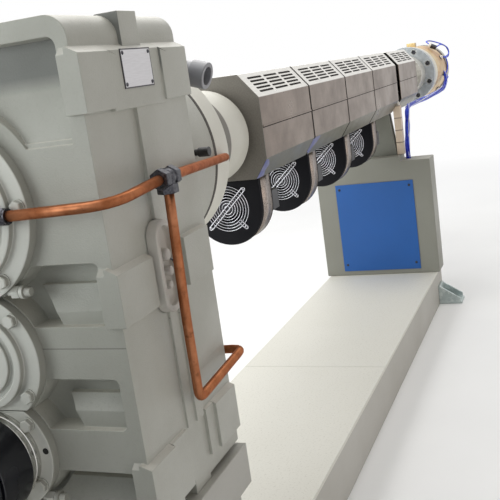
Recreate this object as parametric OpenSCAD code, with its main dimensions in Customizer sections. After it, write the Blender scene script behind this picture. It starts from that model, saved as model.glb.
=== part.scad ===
// Single-screw plastic extruder, all sizes in millimetres.
// +X runs from the drive to the die, +Z is up and the floor is z = 0.
// Lengths along the machine are counted from the rear face of the gearbox.

/* [Base frame] */
// Width over the two side channels
base_w = 496; // [460:2:540]
// Height of the base from the floor to its top plates
base_h = 150; // [130:5:180]
// Length of the base behind the rear face of the gearbox
base_back = 1200; // [1180:10:1300]
// Thickness of a channel's web
web_t = 9; // [6:1:14]
// Width of a channel's flanges
flange_w = 75; // [60:5:100]
// Thickness of the top plates
deck_t = 10; // [6:1:16]
// Distance of the joint between the deck plates from the gearbox
deck_joint_x = 1515; // [1300:5:1700]
// Gap at the deck joint
deck_gap = 2; // [1:0.5:4]
// Radius of the anchor holes in the foot brackets
anchor_r = 9; // [6:0.5:12]
// Reach of a foot bracket beyond the channel
foot_reach = 100; // [80:5:120]

/* [Gearbox] */
// Height of the screw axis above the floor
axis_h = 1000; // [980:5:1060]
// Distance from the output shaft down to the intermediate shaft
out_gap = 226; // [220:2:236]
// Distance from the intermediate shaft down to the input shaft
in_gap = 158; // [150:2:166]
// Width of the casing
gear_w = 500; // [480:5:540]
// Length of the casing along the machine
gear_l = 325; // [310:5:360]
// Height of the casing above the output shaft
gear_above = 260; // [240:5:280]
// Height of the casing below the input shaft
gear_below = 141; // [130:1:150]
// Radius of the long top edges
edge_r = 34; // [20:2:44]
// Depth of the cast hollows between the split flanges
pocket_d = 40; // [30:1:48]
// How far the cast pads stand out of the side walls
pad_d = 12; // [6:1:18]
// Radius of the output shaft cover
out_cover_r = 140; // [126:1:142]
// Radius of the intermediate shaft cover
mid_cover_r = 106; // [100:1:110]
// Radius of the input shaft cover
in_cover_r = 95; // [88:1:98]
// Thickness of the shaft covers' rims
cover_rim_t = 18; // [12:1:24]
// Radius of the round boss on the front of the casing
boss_r = 203; // [190:1:215]
// Distance of the boss's front face from the rear of the gearbox
boss_x = 523; // [480:1:560]

/* [Drive] */
// Radius of the coupling's two halves
coupling_r = 80; // [70:1:90]
// Shaft height of the motor above its feet
motor_h = 280; // [260:5:300]
// Outer radius of the motor's cooling fins
motor_r = 235; // [220:5:250]
// Length of the finned motor body
motor_l = 560; // [500:10:600]

/* [Feed section and barrel] */
// Radius of the thrust flange
thrust_r = 200; // [185:1:210]
// Thickness of the thrust flange
thrust_t = 71; // [60:1:90]
// Radius of the feed section's drum
feed_r = 117; // [110:1:124]
// Length of the feed section's drum
feed_l = 346; // [320:2:380]
// Length of the feed opening along the machine
throat_l = 130; // [100:2:150]
// Width of the feed opening
throat_w = 84; // [60:2:88]
// Outer radius of the barrel
barrel_r = 75; // [70:1:85]
// Radius of the barrel's bore
bore_r = 45; // [40:1:50]
// Radius of the barrel's end flange
end_flange_r = 152; // [145:1:160]
// Distance of the end flange from the rear of the gearbox
end_flange_x = 3740; // [3700:2:3900]
// Radius of the adapter's outlet
outlet_r = 30; // [20:1:40]
// Radius of the bolt holes in the die flange
die_hole_r = 9; // [6:0.5:11]
// Pitch circle of the bolt holes in the die flange
die_pcd = 250; // [240:2:270]

/* [Barrel covers] */
// Half width of the covers
cover_half_w = 145; // [135:1:160]
// Half width of the flat top
cover_top_half = 95; // [85:1:105]
// Height of the covers above the screw axis
cover_above = 143; // [135:1:160]
// Depth of the covers below the screw axis
cover_below = 120; // [115:1:135]
// Thickness of the cover sheets
sheet_t = 3; // [2:0.5:5]
// Length of one heating zone
zone_l = 426; // [410:2:440]
// Length of the gap for the barrel support, between the last two zones
support_gap = 68; // [56:2:80]
// Gap between sheets at a seam
seam = 0.3; // [0.2:0.1:2]

/* [Fans] */
// Radius of the fans' round lower housing
fan_r = 100; // [85:1:104]
// Depth of a fan housing along the machine
fan_d = 88; // [70:2:100]
// Radius of the wire guard in front of a fan
guard_r = 60; // [50:1:70]
// Distance between fans
fan_pitch = 440; // [425:5:450]

/* [Barrel support] */
// Distance of the pedestal's rear face from the rear of the gearbox
pedestal_x = 2655; // [2640:1:2660]
// Depth of the pedestal along the machine
pedestal_d = 120; // [115:1:140]
// Width of the pedestal
pedestal_w = 524; // [480:2:540]
// Height of the pedestal's top above the floor
pedestal_top = 668; // [640:2:700]
// Width of the blue panel
panel_w = 356; // [300:2:400]
// Height of the blue panel
panel_h = 408; // [360:2:440]

/* [Oil pipes] */
// Outer radius of the copper oil pipes
pipe_r = 8; // [6:0.5:10]
// Distance of the pipes from the gearbox's side walls
pipe_off = 40; // [34:1:50]

/* [Hidden] */
$fn = 72;

// Overlap that fuses two shapes of one casting or weldment
fuse = 1;
// Clearance between separate pieces that sit in or beside one another
fit = 0.3;

// Heights of the three shafts and of the casing
mid_z = axis_h - out_gap;
in_z = mid_z - in_gap;
casing_z0 = in_z - gear_below;
casing_z1 = axis_h + gear_above;

// Half heights of the split flanges around the shafts, and the height of a foot flange
out_flange_h = 86;
mid_flange_h = 45;
mid_flange_low = 38;
in_flange_h = 38;
in_flange_low = 32;
foot_h = 30;

// Width of the groove between the casing's boss and the thrust flange
groove_w = 6;

// Stations along the machine
thrust_x0 = boss_x + groove_w;
thrust_x1 = thrust_x0 + thrust_t;
feed_x1 = thrust_x1 + feed_l;
zones_x0 = feed_x1 + 14;
support_x0 = zones_x0 + 4 * zone_l + 36;
support_x1 = support_x0 + support_gap;
zones_x1 = support_x1 + zone_l + 9;
end_ring_l = 136;
end_flange_t = 44;
adapter_x0 = end_flange_x + end_flange_t;
heater_x0 = adapter_x0 + 116;
heater_l = 340;
die_flange_t = 60;
die_x1 = heater_x0 + heater_l + 30 + die_flange_t;
pedestal_x1 = pedestal_x + pedestal_d;

// The frame's origin lies on the floor under the middle of the machine
rear_x = -(die_x1 - base_back) / 2;

// Places a shape by its distance from the rear face of the gearbox
module at_machine() {
    translate([rear_x, 0, 0]) children();
}

// A round piece along the machine between two stations
module round_x(x0, x1, r, y = 0, z = axis_h) {
    translate([x0, y, z]) rotate([0, 90, 0]) cylinder(r = r, h = x1 - x0);
}

// An outline in Y and Z carried along the machine between two stations
module along_x(x0, x1) {
    translate([x0, 0, 0]) rotate([90, 0, 90]) linear_extrude(x1 - x0) children();
}

// A box from its two opposite corners
module block(a, b) {
    translate(a) cube(b - a);
}

// Points of an arc, for the rounded corner of an outline
function arc(c, r, a0, a1, n = 8) =
    [for (i = [0:n]) c + r * [cos(a0 + (a1 - a0) * i / n), sin(a0 + (a1 - a0) * i / n)]];

// Outline of a rectangle with rounded corners, given by its middle
module rounded_rect(w, h, r) {
    polygon(concat(
        arc([w / 2 - r, h / 2 - r], r, 0, 90),
        arc([r - w / 2, h / 2 - r], r, 90, 180),
        arc([r - w / 2, r - h / 2], r, 180, 270),
        arc([w / 2 - r, r - h / 2], r, 270, 360)));
}

// One side channel of the base, with its web outside
module side_channel(side) {
    depth = base_h - deck_t;
    along_x(-base_back, pedestal_x1) scale([side, 1]) polygon([
        [base_w / 2, 0], [base_w / 2, depth], [base_w / 2 - flange_w, depth],
        [base_w / 2 - flange_w, depth - web_t], [base_w / 2 - web_t, depth - web_t],
        [base_w / 2 - web_t, web_t], [base_w / 2 - flange_w, web_t],
        [base_w / 2 - flange_w, 0]]);
}

// Welded frame of two long channels and cross members
module base_frame() {
    cross_x = [-base_back, -840, -420, -30, gear_l - 14, 900, deck_joint_x - 40, 2100, pedestal_x1 - 60];
    color("silver") at_machine() {
        for (side = [-1, 1]) side_channel(side);
        for (x = cross_x)
            block([x, web_t / 2 - base_w / 2, 0], [x + 60, base_w / 2 - web_t / 2, base_h - deck_t]);
    }
}

// Two deck plates that meet at a joint between the gearbox and the pedestal
module deck_plates() {
    color("gainsboro") at_machine() {
        block([-base_back, -base_w / 2, base_h - deck_t], [deck_joint_x, base_w / 2, base_h]);
        block([deck_joint_x + deck_gap, -base_w / 2, base_h - deck_t], [pedestal_x1, base_w / 2, base_h]);
    }
}

// Spacing of the anchor holes
foot_w = 90;
foot_x = [-base_back + 60, pedestal_x1 - 75];
anchor_y = base_w / 2 + 0.6 * foot_reach;

// An anchor bracket: foot plate, plate against the channel and two gussets
module foot_bracket() {
    plate_t = 10;
    height = 84;
    difference() {
        union() {
            block([-foot_w / 2, 0, 0], [foot_w / 2, foot_reach, plate_t]);
            block([-foot_w / 2, 0, 0], [foot_w / 2, plate_t, height]);
            for (x = [-foot_w / 2, foot_w / 2 - 8])
                translate([x, 0, 0]) rotate([90, 0, 90]) linear_extrude(8) polygon([
                    [plate_t / 2, plate_t / 2], [foot_reach - 6, plate_t / 2],
                    [foot_reach - 6, plate_t + 16], [plate_t / 2, height]]);
        }
        translate([0, 0.6 * foot_reach, -fuse]) cylinder(r = anchor_r, h = plate_t + 2 * fuse);
    }
}

// Four galvanised anchor brackets at the corners of the base
module foot_brackets() {
    color("lightslategray") at_machine()
        for (x = foot_x) {
            translate([x, base_w / 2, 0]) foot_bracket();
            translate([x, -base_w / 2, 0]) mirror([0, 1, 0]) foot_bracket();
        }
}

// Welded seat that lifts the gearbox to the height of the screw
module gearbox_seat() {
    half_w = gear_w / 2 + 14;
    head_h = 80;
    color("darkgray") at_machine() {
        block([-34, -half_w, casing_z0 - head_h], [gear_l + 2, half_w, casing_z0]);
        block([-20, 20 - half_w, base_h], [gear_l - 12, half_w - 20, casing_z0 - head_h + fuse]);
        block([-34, 6 - half_w, base_h], [gear_l + 2, half_w - 6, base_h + 18]);
    }
}

// Motor stations
motor_x1 = -335;
motor_x0 = motor_x1 - motor_l - 50;
motor_foot_z = in_z - motor_h;
motor_foot_y = motor_r - 25;
motor_foot_half = 48;

// Welded stand under the motor
module motor_stand() {
    plate_t = 20;
    wall_t = 14;
    top_half = motor_foot_y + motor_foot_half + 10;
    half_w = base_w / 2 - 4;
    color("darkgray") at_machine() {
        block([motor_x0 + 60, -top_half, motor_foot_z - plate_t], [motor_x1 - 60, top_half, motor_foot_z]);
        difference() {
            block([motor_x0 + 75, -half_w, base_h], [motor_x1 - 75, half_w, motor_foot_z - plate_t + fuse]);
            block([motor_x0 + 75 + wall_t, wall_t - half_w, base_h - fuse],
                [motor_x1 - 75 - wall_t, half_w - wall_t, motor_foot_z - plate_t]);
        }
    }
}

// Height above which the side walls stand in, and by how much
crown_z = casing_z1 - 48;
crown_inset = 6;

// Cross-section of the casing: a tall box, drawn in and rounded at the top
module casing_outline() {
    corner_y = gear_w / 2 - crown_inset - edge_r;
    polygon(concat(
        [[-gear_w / 2, casing_z0], [gear_w / 2, casing_z0], [gear_w / 2, crown_z - crown_inset]],
        [[gear_w / 2 - crown_inset, crown_z]],
        arc([corner_y, casing_z1 - edge_r], edge_r, 0, 90),
        arc([-corner_y, casing_z1 - edge_r], edge_r, 90, 180),
        [[crown_inset - gear_w / 2, crown_z], [-gear_w / 2, crown_z - crown_inset]]));
}

// An outline in X and Z carried across the machine between two distances from its middle
module across(y0, y1) {
    translate([0, y1, 0]) rotate([90, 0, 0]) linear_extrude(y1 - y0) children();
}

// Half width of the rear hollows, which end at the corner lugs, and the radius of their corners
hollow_half_w = 226;
hollow_corner_r = 9;

// A deep hollow of the rear wall with a sloping bench along its lower edge.
// The bench stops at the round housing of the shaft whose height is given.
module rear_hollow(z0, z1, bench_h, slope_h, shaft_z, housing_r) {
    bench_x = 13;
    back = pocket_d + fuse;
    difference() {
        translate([0, 0, (z0 + z1) / 2]) along_x(-fuse, pocket_d)
            rounded_rect(2 * hollow_half_w, z1 - z0, hollow_corner_r);
        difference() {
            across(-hollow_half_w - fuse, hollow_half_w + fuse) polygon([
                [bench_x, z0 - fuse], [bench_x, z0 + bench_h],
                [bench_x + 16, z0 + bench_h + slope_h], [back, z0 + bench_h + slope_h], [back, z0 - fuse]]);
            round_x(-fuse, back + fuse, housing_r, 0, shaft_z);
        }
    }
}

// The hollow above the output shaft: deep under its upper edge, with a back that slopes out
// downwards to a narrow double step
module crown_hollow() {
    z0 = axis_h + out_flange_h;
    z1 = casing_z1 - 29;
    difference() {
        intersection() {
            across(-hollow_half_w, hollow_half_w) polygon([
                [-fuse, z1], [24, z1 - 2], [24, z1 - 59], [9, z0 + 6], [5, z0 + 5], [5, z0 - 1], [-fuse, z0 - 2]]);
            translate([0, 0, (z0 + z1) / 2 - 20]) along_x(-2 * fuse, 30)
                rounded_rect(2 * hollow_half_w - 6, z1 - z0 + 40, 14);
        }
        round_x(-3 * fuse, 31, out_cover_r + 26, 0, axis_h + 3);
    }
}

// The hollows cast into the rear wall, less the round seats of the shaft covers
module rear_hollows() {
    seat = 1.5;
    difference() {
        union() {
            rear_hollow(mid_z + mid_flange_h, axis_h - out_flange_h, 20, 39, mid_z, mid_cover_r + 41);
            rear_hollow(in_z + in_flange_h, mid_z - mid_flange_low, 26, 24, in_z, in_cover_r + 52);
            rear_hollow(casing_z0 + foot_h, in_z - in_flange_low, 20, 36, in_z, in_cover_r + 10);
            crown_hollow();
        }
        round_x(-2 * fuse, pocket_d + fuse, out_cover_r + seat);
        round_x(-2 * fuse, pocket_d + fuse, mid_cover_r + seat, 0, mid_z);
        round_x(-2 * fuse, pocket_d + fuse, in_cover_r + seat, 0, in_z);
    }
}

// A pad cast onto a side wall, with a drafted upper edge
module side_pad(x0, x1, proud, z0, z1, draft) {
    y0 = gear_w / 2 - 10;
    y1 = gear_w / 2 + proud;
    along_x(x0, x1) polygon([[y0, z0], [y1, z0], [y1, z1], [gear_w / 2 - crown_inset, z1 + draft], [y0, z1 + draft]]);
}

// A lug that wraps a rear corner of the casing
module corner_lug(x1, z0, z1, draft) {
    proud_x = 10;
    side_pad(-proud_x, x1, pad_d, z0, z1, draft);
    across(hollow_half_w + 1, gear_w / 2 - 9) polygon([
        [fuse, z0], [-proud_x, z0], [-proud_x, z1], [0, z1 + draft], [fuse, z1 + draft]]);
}

// How far the middle pads stand out, the upper one of which carries the label plate
step = 8;

// The pads, lugs and ribs cast onto one side wall
module side_pads() {
    thin = 4;
    rib_x0 = 137;
    rib_x1 = 190;
    top_z0 = casing_z1 - 137;
    top_z1 = casing_z1 - 56;
    mid_z0 = axis_h - 182;
    mid_z1 = axis_h - 104;
    corner_lug(72, top_z0, top_z1, 10);
    side_pad(71, 232, step, top_z0 - 4, top_z1 + 1, 9);
    side_pad(231, gear_l, pad_d, top_z0 + 1, top_z1, 10);
    corner_lug(98, mid_z0, mid_z1, 10);
    side_pad(210, gear_l - 18, pad_d, mid_z0, mid_z1 + 3, 4);
    side_pad(rib_x0, rib_x1, step - 2, mid_z1, top_z0, 0);
    side_pad(rib_x0, rib_x1, thin, casing_z0 + 120, mid_z0, 0);
    side_pad(rib_x0 + 27, rib_x1, step, casing_z0 + 120, mid_z0, 0);
    corner_lug(71, casing_z0, casing_z0 + 121, 7);
    side_pad(70, 126, step - 2, casing_z0, casing_z0 + 123, 4);
    side_pad(202, 233, step - 2, casing_z0 + 39, casing_z0 + 123, 4);
    side_pad(232, gear_l - 6, pad_d, casing_z0 + 39, casing_z0 + 121, 7);
}

// Clearances under the foot of one side wall, between the places where it rests on the seat
module foot_gaps() {
    y0 = gear_w / 2 - 34;
    y1 = gear_w / 2 + pad_d + fuse;
    block([84, y0, casing_z0 - fuse], [137, y1, casing_z0 + 25]);
    block([196, y0, casing_z0 - fuse], [gear_l + fuse, y1, casing_z0 + 8]);
}

// Place and size of the oval oil gauge
gauge_x = 134;
gauge_z = axis_h - 128;
gauge_w = 58;
gauge_h = 148;

// Puts a shape at the gauge's middle, standing out of the side wall
module at_gauge() {
    translate([gauge_x, -gear_w / 2, gauge_z]) rotate([90, 0, 0]) children();
}

// Cast gearbox casing with its round front boss and a milled seat for the gauge
module gearbox_casing() {
    color("darkgray") at_machine() difference() {
        union() {
            along_x(0, gear_l) casing_outline();
            for (side = [0, 1]) mirror([0, side, 0]) {
                side_pads();
                block([135, gear_w / 2 - 40, crown_z - 4], [192, gear_w / 2, casing_z1 + 2]);
            }
            round_x(gear_l - fuse, boss_x, boss_r);
        }
        rear_hollows();
        for (side = [0, 1]) mirror([0, side, 0]) foot_gaps();
        at_gauge() translate([0, 0, -fit]) linear_extrude(2 * step)
            rounded_rect(gauge_w + 4 * fit, gauge_h + 4 * fit, gauge_w / 2);
    }
}

// Heights where neighbouring covers meet on a flat
flat_1 = axis_h - out_gap * out_cover_r / (out_cover_r + mid_cover_r);
flat_2 = mid_z - in_gap * mid_cover_r / (mid_cover_r + in_cover_r);

// A turned shaft cover: rim, raised hub and a ring groove
module shaft_cover(r, hub_r, z) {
    difference() {
        union() {
            round_x(-cover_rim_t, 0, r, 0, z);
            round_x(-cover_rim_t - 10, -cover_rim_t + fuse, hub_r, 0, z);
        }
        difference() {
            round_x(-cover_rim_t - 12, -cover_rim_t - 4, hub_r - 12, 0, z);
            round_x(-cover_rim_t - 14, -cover_rim_t, hub_r - 22, 0, z);
        }
    }
}

// Cover over the rear end of the output shaft
module output_cover() {
    color("darkgray") at_machine() difference() {
        shaft_cover(out_cover_r, 0.8 * out_cover_r, axis_h);
        block([-60, -gear_w, flat_1 - gear_w], [60, gear_w, flat_1 + 0.5]);
    }
}

// Cover over the intermediate shaft, flat where it meets its neighbours
module intermediate_cover() {
    color("darkgray") at_machine() difference() {
        shaft_cover(mid_cover_r, 0.74 * mid_cover_r, mid_z);
        block([-60, -gear_w, flat_1 - 0.5], [60, gear_w, flat_1 + gear_w]);
        block([-60, -gear_w, flat_2 - gear_w], [60, gear_w, flat_2 + 0.5]);
    }
}

// Radius of the input shaft
in_shaft_r = 30;

// Cover round the input shaft
module input_cover() {
    color("darkgray") at_machine() difference() {
        union() {
            round_x(-cover_rim_t, 0, in_cover_r, 0, in_z);
            round_x(-cover_rim_t - 14, -cover_rim_t + fuse, 0.76 * in_cover_r, 0, in_z);
        }
        block([-60, -gear_w, flat_2 - 0.5], [60, gear_w, flat_2 + gear_w]);
        round_x(-60, fuse, in_shaft_r + fit, 0, in_z);
    }
}

// Motor shaft radius, and where its end lies in the coupling
motor_shaft_r = 32;
motor_shaft_x = -150;

// Pin coupling on the input shaft, with a bored half for the motor shaft
module coupling() {
    color("black") at_machine() difference() {
        union() {
            round_x(-140, 0, in_shaft_r, 0, in_z);
            round_x(-116, -46, coupling_r, 0, in_z);
            round_x(-192, -122, coupling_r, 0, in_z);
            round_x(-215, -192 + fuse, 54, 0, in_z);
            for (i = [0:7])
                round_x(-150, -90, 9, 60 * cos(45 * i), in_z + 60 * sin(45 * i));
        }
        round_x(-216, motor_shaft_x + fuse, motor_shaft_r + fit, 0, in_z);
    }
}

// Outline of the finned motor body
module motor_fins() {
    circle(r = motor_r - 24);
    for (i = [0:39])
        rotate(9 * i + 4.5) translate([motor_r - 34, -3]) square([34, 6]);
}

// Electric motor with fins, end shields, feet and shaft
module drive_motor() {
    color("steelblue") at_machine() {
        translate([0, 0, in_z]) along_x(motor_x0 + 25, motor_x1 - 25) motor_fins();
        round_x(motor_x1 - 26, motor_x1, motor_r - 12, 0, in_z);
        round_x(motor_x0, motor_x0 + 26, motor_r - 12, 0, in_z);
        round_x(motor_x1 - fuse, motor_x1 + 20, 120, 0, in_z);
        round_x(motor_x1, motor_shaft_x, motor_shaft_r, 0, in_z);
        for (side = [-1, 1])
            block([motor_x0 + 110, side * motor_foot_y - motor_foot_half, motor_foot_z],
                [motor_x1 - 110, side * motor_foot_y + motor_foot_half, motor_foot_z + 24]);
        for (side = [-1, 1], x = [motor_x0 + 130, motor_x1 - 160])
            block([x, side * (motor_foot_y - 20) - 22, motor_foot_z + 20],
                [x + 30, side * (motor_foot_y - 20) + 22, in_z - 100]);
    }
}

// Sheet cowl over the motor's fan
module motor_fan_cowl() {
    cowl_l = 0.72 * motor_r;
    color("steelblue") at_machine() translate([motor_x0, 0, in_z]) rotate([0, -90, 0])
        rotate_extrude() polygon([[0, 0], [motor_r + 3, 0], [motor_r + 3, cowl_l - 40],
            [motor_r - 12, cowl_l - 12], [motor_r - 40, cowl_l], [0, cowl_l]]);
}

// Terminal box on top of the motor
module motor_terminal_box() {
    box_z = in_z + motor_r - 4;
    color("steelblue") at_machine() {
        block([motor_x1 - 330, -110, box_z + fit], [motor_x1 - 110, 110, box_z + 96]);
        block([motor_x1 - 338, -118, box_z + 90], [motor_x1 - 102, 118, box_z + 116]);
    }
}

// Bare plate screwed to the middle of the top pad
module label_plate() {
    color("whitesmoke") at_machine()
        block([108, -gear_w / 2 - step - 1.5, casing_z1 - 112], [200, -gear_w / 2 - step, casing_z1 - 54]);
}

// Long oval oil gauge with a raised bezel and three screwed fittings in its sunk middle
module oil_gauge() {
    color("gray") at_machine() at_gauge() {
        difference() {
            linear_extrude(20) rounded_rect(gauge_w, gauge_h, gauge_w / 2 - 1);
            translate([0, 0, 9]) linear_extrude(20) rounded_rect(gauge_w - 20, gauge_h - 20, gauge_w / 2 - 11);
        }
        translate([0, 18, 0]) cylinder(r = 10, h = 20);
        translate([0, -8, 0]) cylinder(r = 9, h = 22, $fn = 6);
        translate([2, -31, 0]) cylinder(r = 7, h = 17);
    }
}

// Direction that no pipe or wire runs in, from which the rings of a swept tube take their start
side_ref = [1, 1, 1];

// Ring of points round one point of a route
function ring_at(p, d, r, n) =
    let (u = d / norm(d), v = cross(u, side_ref) / norm(cross(u, side_ref)), w = cross(u, v))
    [for (k = [0:n - 1]) p + r * (cos(360 * k / n) * v + sin(360 * k / n) * w)];

// Direction of a route at one of its points
function route_dir(pts, i) =
    let (a = pts[max(i - 1, 0)], b = pts[min(i + 1, len(pts) - 1)]) b - a;

// A route with each of its corners rounded by a bend that starts a given length before it
function rounded_route(pts, cut, n = 6) = concat([pts[0]],
    [for (i = [1:len(pts) - 2])
        let (u = pts[i - 1] - pts[i], v = pts[i + 1] - pts[i])
        let (a = pts[i] + u / norm(u) * cut, b = pts[i] + v / norm(v) * cut)
        for (k = [0:n])
            let (t = k / n) (1 - t) * (1 - t) * a + 2 * t * (1 - t) * pts[i] + t * t * b],
    [pts[len(pts) - 1]]);

// A solid round tube swept along a route
module swept_tube(pts, r, n = 12) {
    count = len(pts);
    rings = [for (i = [0:count - 1]) each ring_at(pts[i], route_dir(pts, i), r, n)];
    sides = [for (i = [0:count - 2], k = [0:n - 1])
        [i * n + k, i * n + (k + 1) % n, (i + 1) * n + (k + 1) % n, (i + 1) * n + k]];
    ends = [[for (k = [0:n - 1]) n - 1 - k], [for (k = [0:n - 1]) (count - 1) * n + k]];
    polyhedron(points = rings, faces = concat(sides, ends));
}

// Height of the pipes along the casing, and where the tee sits
pipe_y = gear_w / 2 + pipe_off;
pipe_z = axis_h + 10;
tee_x = 129;
tee_half = 24;

// Length of a pipe bend before its corner, and how far the pipes stand off the walls they run along
bend_cut = 24;
wide_cut = 52;
pipe_rear_x = -36;
pipe_front_x = gear_l + 20;
pipe_low_z = axis_h - 353;

// Copper pipe from the rear of the gearbox round its corner to the tee
module oil_pipe_rear() {
    color("peru") at_machine() swept_tube(rounded_route([
        [pipe_rear_x, -112, pipe_z - 13], [pipe_rear_x, -pipe_y, pipe_z - 8],
        [tee_x - tee_half - fit, -pipe_y, pipe_z]], wide_cut), pipe_r);
}

// Copper pipe from the tee to the thrust flange
module oil_pipe_thrust() {
    end_x = boss_x + 34;
    start_x = tee_x + tee_half + fit;
    color("peru") at_machine() swept_tube([
        [start_x, -pipe_y, pipe_z], [start_x + 16, 1 - pipe_y, pipe_z], [end_x - 14, -thrust_r - 13, pipe_z - 22],
        [end_x - 5, -thrust_r - 7, pipe_z - 23], [end_x, -thrust_r - fit, pipe_z - 24]], pipe_r);
}

// Copper pipe from the tee down the casing and round its front corner
module oil_pipe_drop() {
    low_y = pad_d + 2 + 1.5 * pipe_r + gear_w / 2;
    color("peru") at_machine() swept_tube(rounded_route([
        [tee_x + 1, -pipe_y, pipe_z - tee_half - fit], [tee_x - 8, -pipe_y, axis_h - 208],
        [tee_x + 8, -low_y - 6, pipe_low_z], [pipe_front_x, -low_y, pipe_low_z + 8],
        [pipe_front_x, -160, pipe_low_z + 4], [gear_l + 1, -160, pipe_low_z + 4]], 18), pipe_r);
}

// Forged tee with three union nuts
module pipe_tee() {
    body_r = 13;
    nut_r = 17;
    color("dimgray") at_machine() translate([tee_x, -pipe_y, pipe_z]) {
        for (turn = [-90, 90, 180]) rotate([0, turn, 0]) {
            cylinder(r = body_r, h = tee_half - 8);
            translate([0, 0, tee_half - 14]) cylinder(r = nut_r, h = 14, $fn = 6);
        }
        sphere(r = body_r + 2);
    }
}

// Knurled breather plug in the side of the front boss
module breather_plug() {
    plug_r = 9;
    color("black") at_machine() translate([426, -boss_r - fit, axis_h + 14]) rotate([90, 0, 0]) {
        cylinder(r = plug_r - 3, h = 12);
        translate([0, 0, 8]) cylinder(r = plug_r, h = 22, $fn = 16);
    }
}

// Grey plastic elbow on the front of the gearbox, open at its mouth
module vent_elbow() {
    tube_r = 20;
    knee = 65;
    turn = 108;
    color("slategray") at_machine() translate([gear_l, 36 - gear_w / 2, axis_h + 167]) difference() {
        union() {
            rotate([0, 90, 0]) cylinder(r = tube_r + 6, h = 12);
            rotate([0, 90, 0]) cylinder(r = tube_r, h = knee);
            translate([knee, 0, 0]) sphere(r = tube_r + 2);
            translate([knee, 0, 0]) rotate([turn, 0, 0]) cylinder(r = tube_r, h = 50);
            translate([knee, 0, 0]) rotate([turn, 0, 0]) translate([0, 0, 26]) cylinder(r = tube_r + 4, h = 30);
        }
        translate([knee, 0, 0]) rotate([turn, 0, 0]) translate([0, 0, 30]) cylinder(r = tube_r - 4, h = 40);
    }
}

// Thrust flange bolted to the casing's boss, with a neck that leaves a dark groove
module thrust_flange() {
    color("lightgray") at_machine() {
        round_x(boss_x, thrust_x0 + fuse, thrust_r - 16);
        translate([thrust_x0, 0, axis_h]) rotate([0, 90, 0]) rotate_extrude() polygon([
            [0, 0], [thrust_r - 3, 0], [thrust_r, 3], [thrust_r, thrust_t - 6],
            [thrust_r - 6, thrust_t], [0, thrust_t]]);
    }
}

// Middle of the feed opening along the machine
throat_x = thrust_x1 + 0.58 * feed_l;

// Cast feed section: a drum with a rounded front rim and a feed opening on top
module feed_section() {
    rim = 22;
    color("lightgray") at_machine() difference() {
        translate([thrust_x1, 0, axis_h]) rotate([0, 90, 0]) rotate_extrude() polygon(concat(
            [[0, 0], [feed_r + 26, 0], [feed_r + 22, 14], [feed_r + 4, 32], [feed_r, 48]],
            arc([feed_r - rim, feed_l - rim], rim, 0, 90), [[0, feed_l]]));
        round_x(thrust_x1 - fuse, feed_x1 + fuse, bore_r);
        block([throat_x - throat_l / 2, -throat_w / 2, axis_h],
            [throat_x + throat_l / 2, throat_w / 2, axis_h + feed_r + fuse]);
    }
}

// Steel barrel with a thick ring at its front end
module barrel() {
    color("dimgray") at_machine() difference() {
        union() {
            round_x(feed_x1, end_flange_x, barrel_r);
            round_x(end_flange_x - end_ring_l, end_flange_x, barrel_r + 28);
        }
        round_x(feed_x1 - fuse, end_flange_x + fuse, bore_r);
    }
}

// Screw: core with a pointed tip
module screw() {
    color("lightsteelblue") at_machine() {
        round_x(thrust_x1, end_flange_x - 40, bore_r - 11);
        translate([end_flange_x - 40 - fuse, 0, axis_h]) rotate([0, 90, 0])
            cylinder(r1 = bore_r - 11, r2 = 6, h = 60);
    }
}

// Cross-section of the covers: a box with cut corners, drawn in by a given amount
function cover_points(inset) = [
    [cover_top_half - 0.5 * inset, axis_h + cover_above - inset],
    [cover_half_w - inset, axis_h + 82 - 0.4 * inset],
    [cover_half_w - inset, axis_h - 70 + 0.4 * inset],
    [cover_half_w - 35 - 0.6 * inset, axis_h - cover_below + inset],
    [35 - cover_half_w + 0.6 * inset, axis_h - cover_below + inset],
    [inset - cover_half_w, axis_h - 70 + 0.4 * inset],
    [inset - cover_half_w, axis_h + 82 - 0.4 * inset],
    [0.5 * inset - cover_top_half, axis_h + cover_above - inset]];

// Height of the seam between the upper and lower cover halves
seam_z = axis_h + 8;

// Upper and lower sheet covers of one heating zone, clear of each other at the seam
module zone_cover(x0, x1) {
    color("lightgray") at_machine() difference() {
        along_x(x0 + seam / 2, x1 - seam / 2) polygon(cover_points(0));
        along_x(x0 - fuse, x1 + fuse) polygon(cover_points(sheet_t));
        block([x0 - fuse, -2 * cover_half_w, seam_z - seam / 2], [x1 + fuse, 2 * cover_half_w, seam_z + seam / 2]);
    }
}

module zone_cover_1() { zone_cover(zones_x0, zones_x0 + zone_l); }
module zone_cover_2() { zone_cover(zones_x0 + zone_l, zones_x0 + 2 * zone_l); }
module zone_cover_3() { zone_cover(zones_x0 + 2 * zone_l, zones_x0 + 3 * zone_l); }
module zone_cover_4() { zone_cover(zones_x0 + 3 * zone_l, support_x0); }
module zone_cover_5() { zone_cover(support_x1, zones_x1); }

// Plates that close the row of covers at its rear and front, clear of the barrel
module cover_end_plates() {
    plate_t = 3;
    color("dimgray") at_machine()
        for (x = [zones_x0 - plate_t, zones_x1]) difference() {
            along_x(x, x + plate_t) polygon(cover_points(0));
            round_x(x - fuse, x + plate_t + fuse, barrel_r + fit);
        }
}

// Stations and height of the fans
fan_x0 = zones_x0 + 40;
fan_z = axis_h - cover_below - 78;

// Outline of a fan housing: flat at the top and round below
module fan_outline(r) {
    polygon(concat([[r, axis_h - cover_below]], [[-r, axis_h - cover_below]],
        arc([0, fan_z], r, 180, 360, 24)));
}

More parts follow.
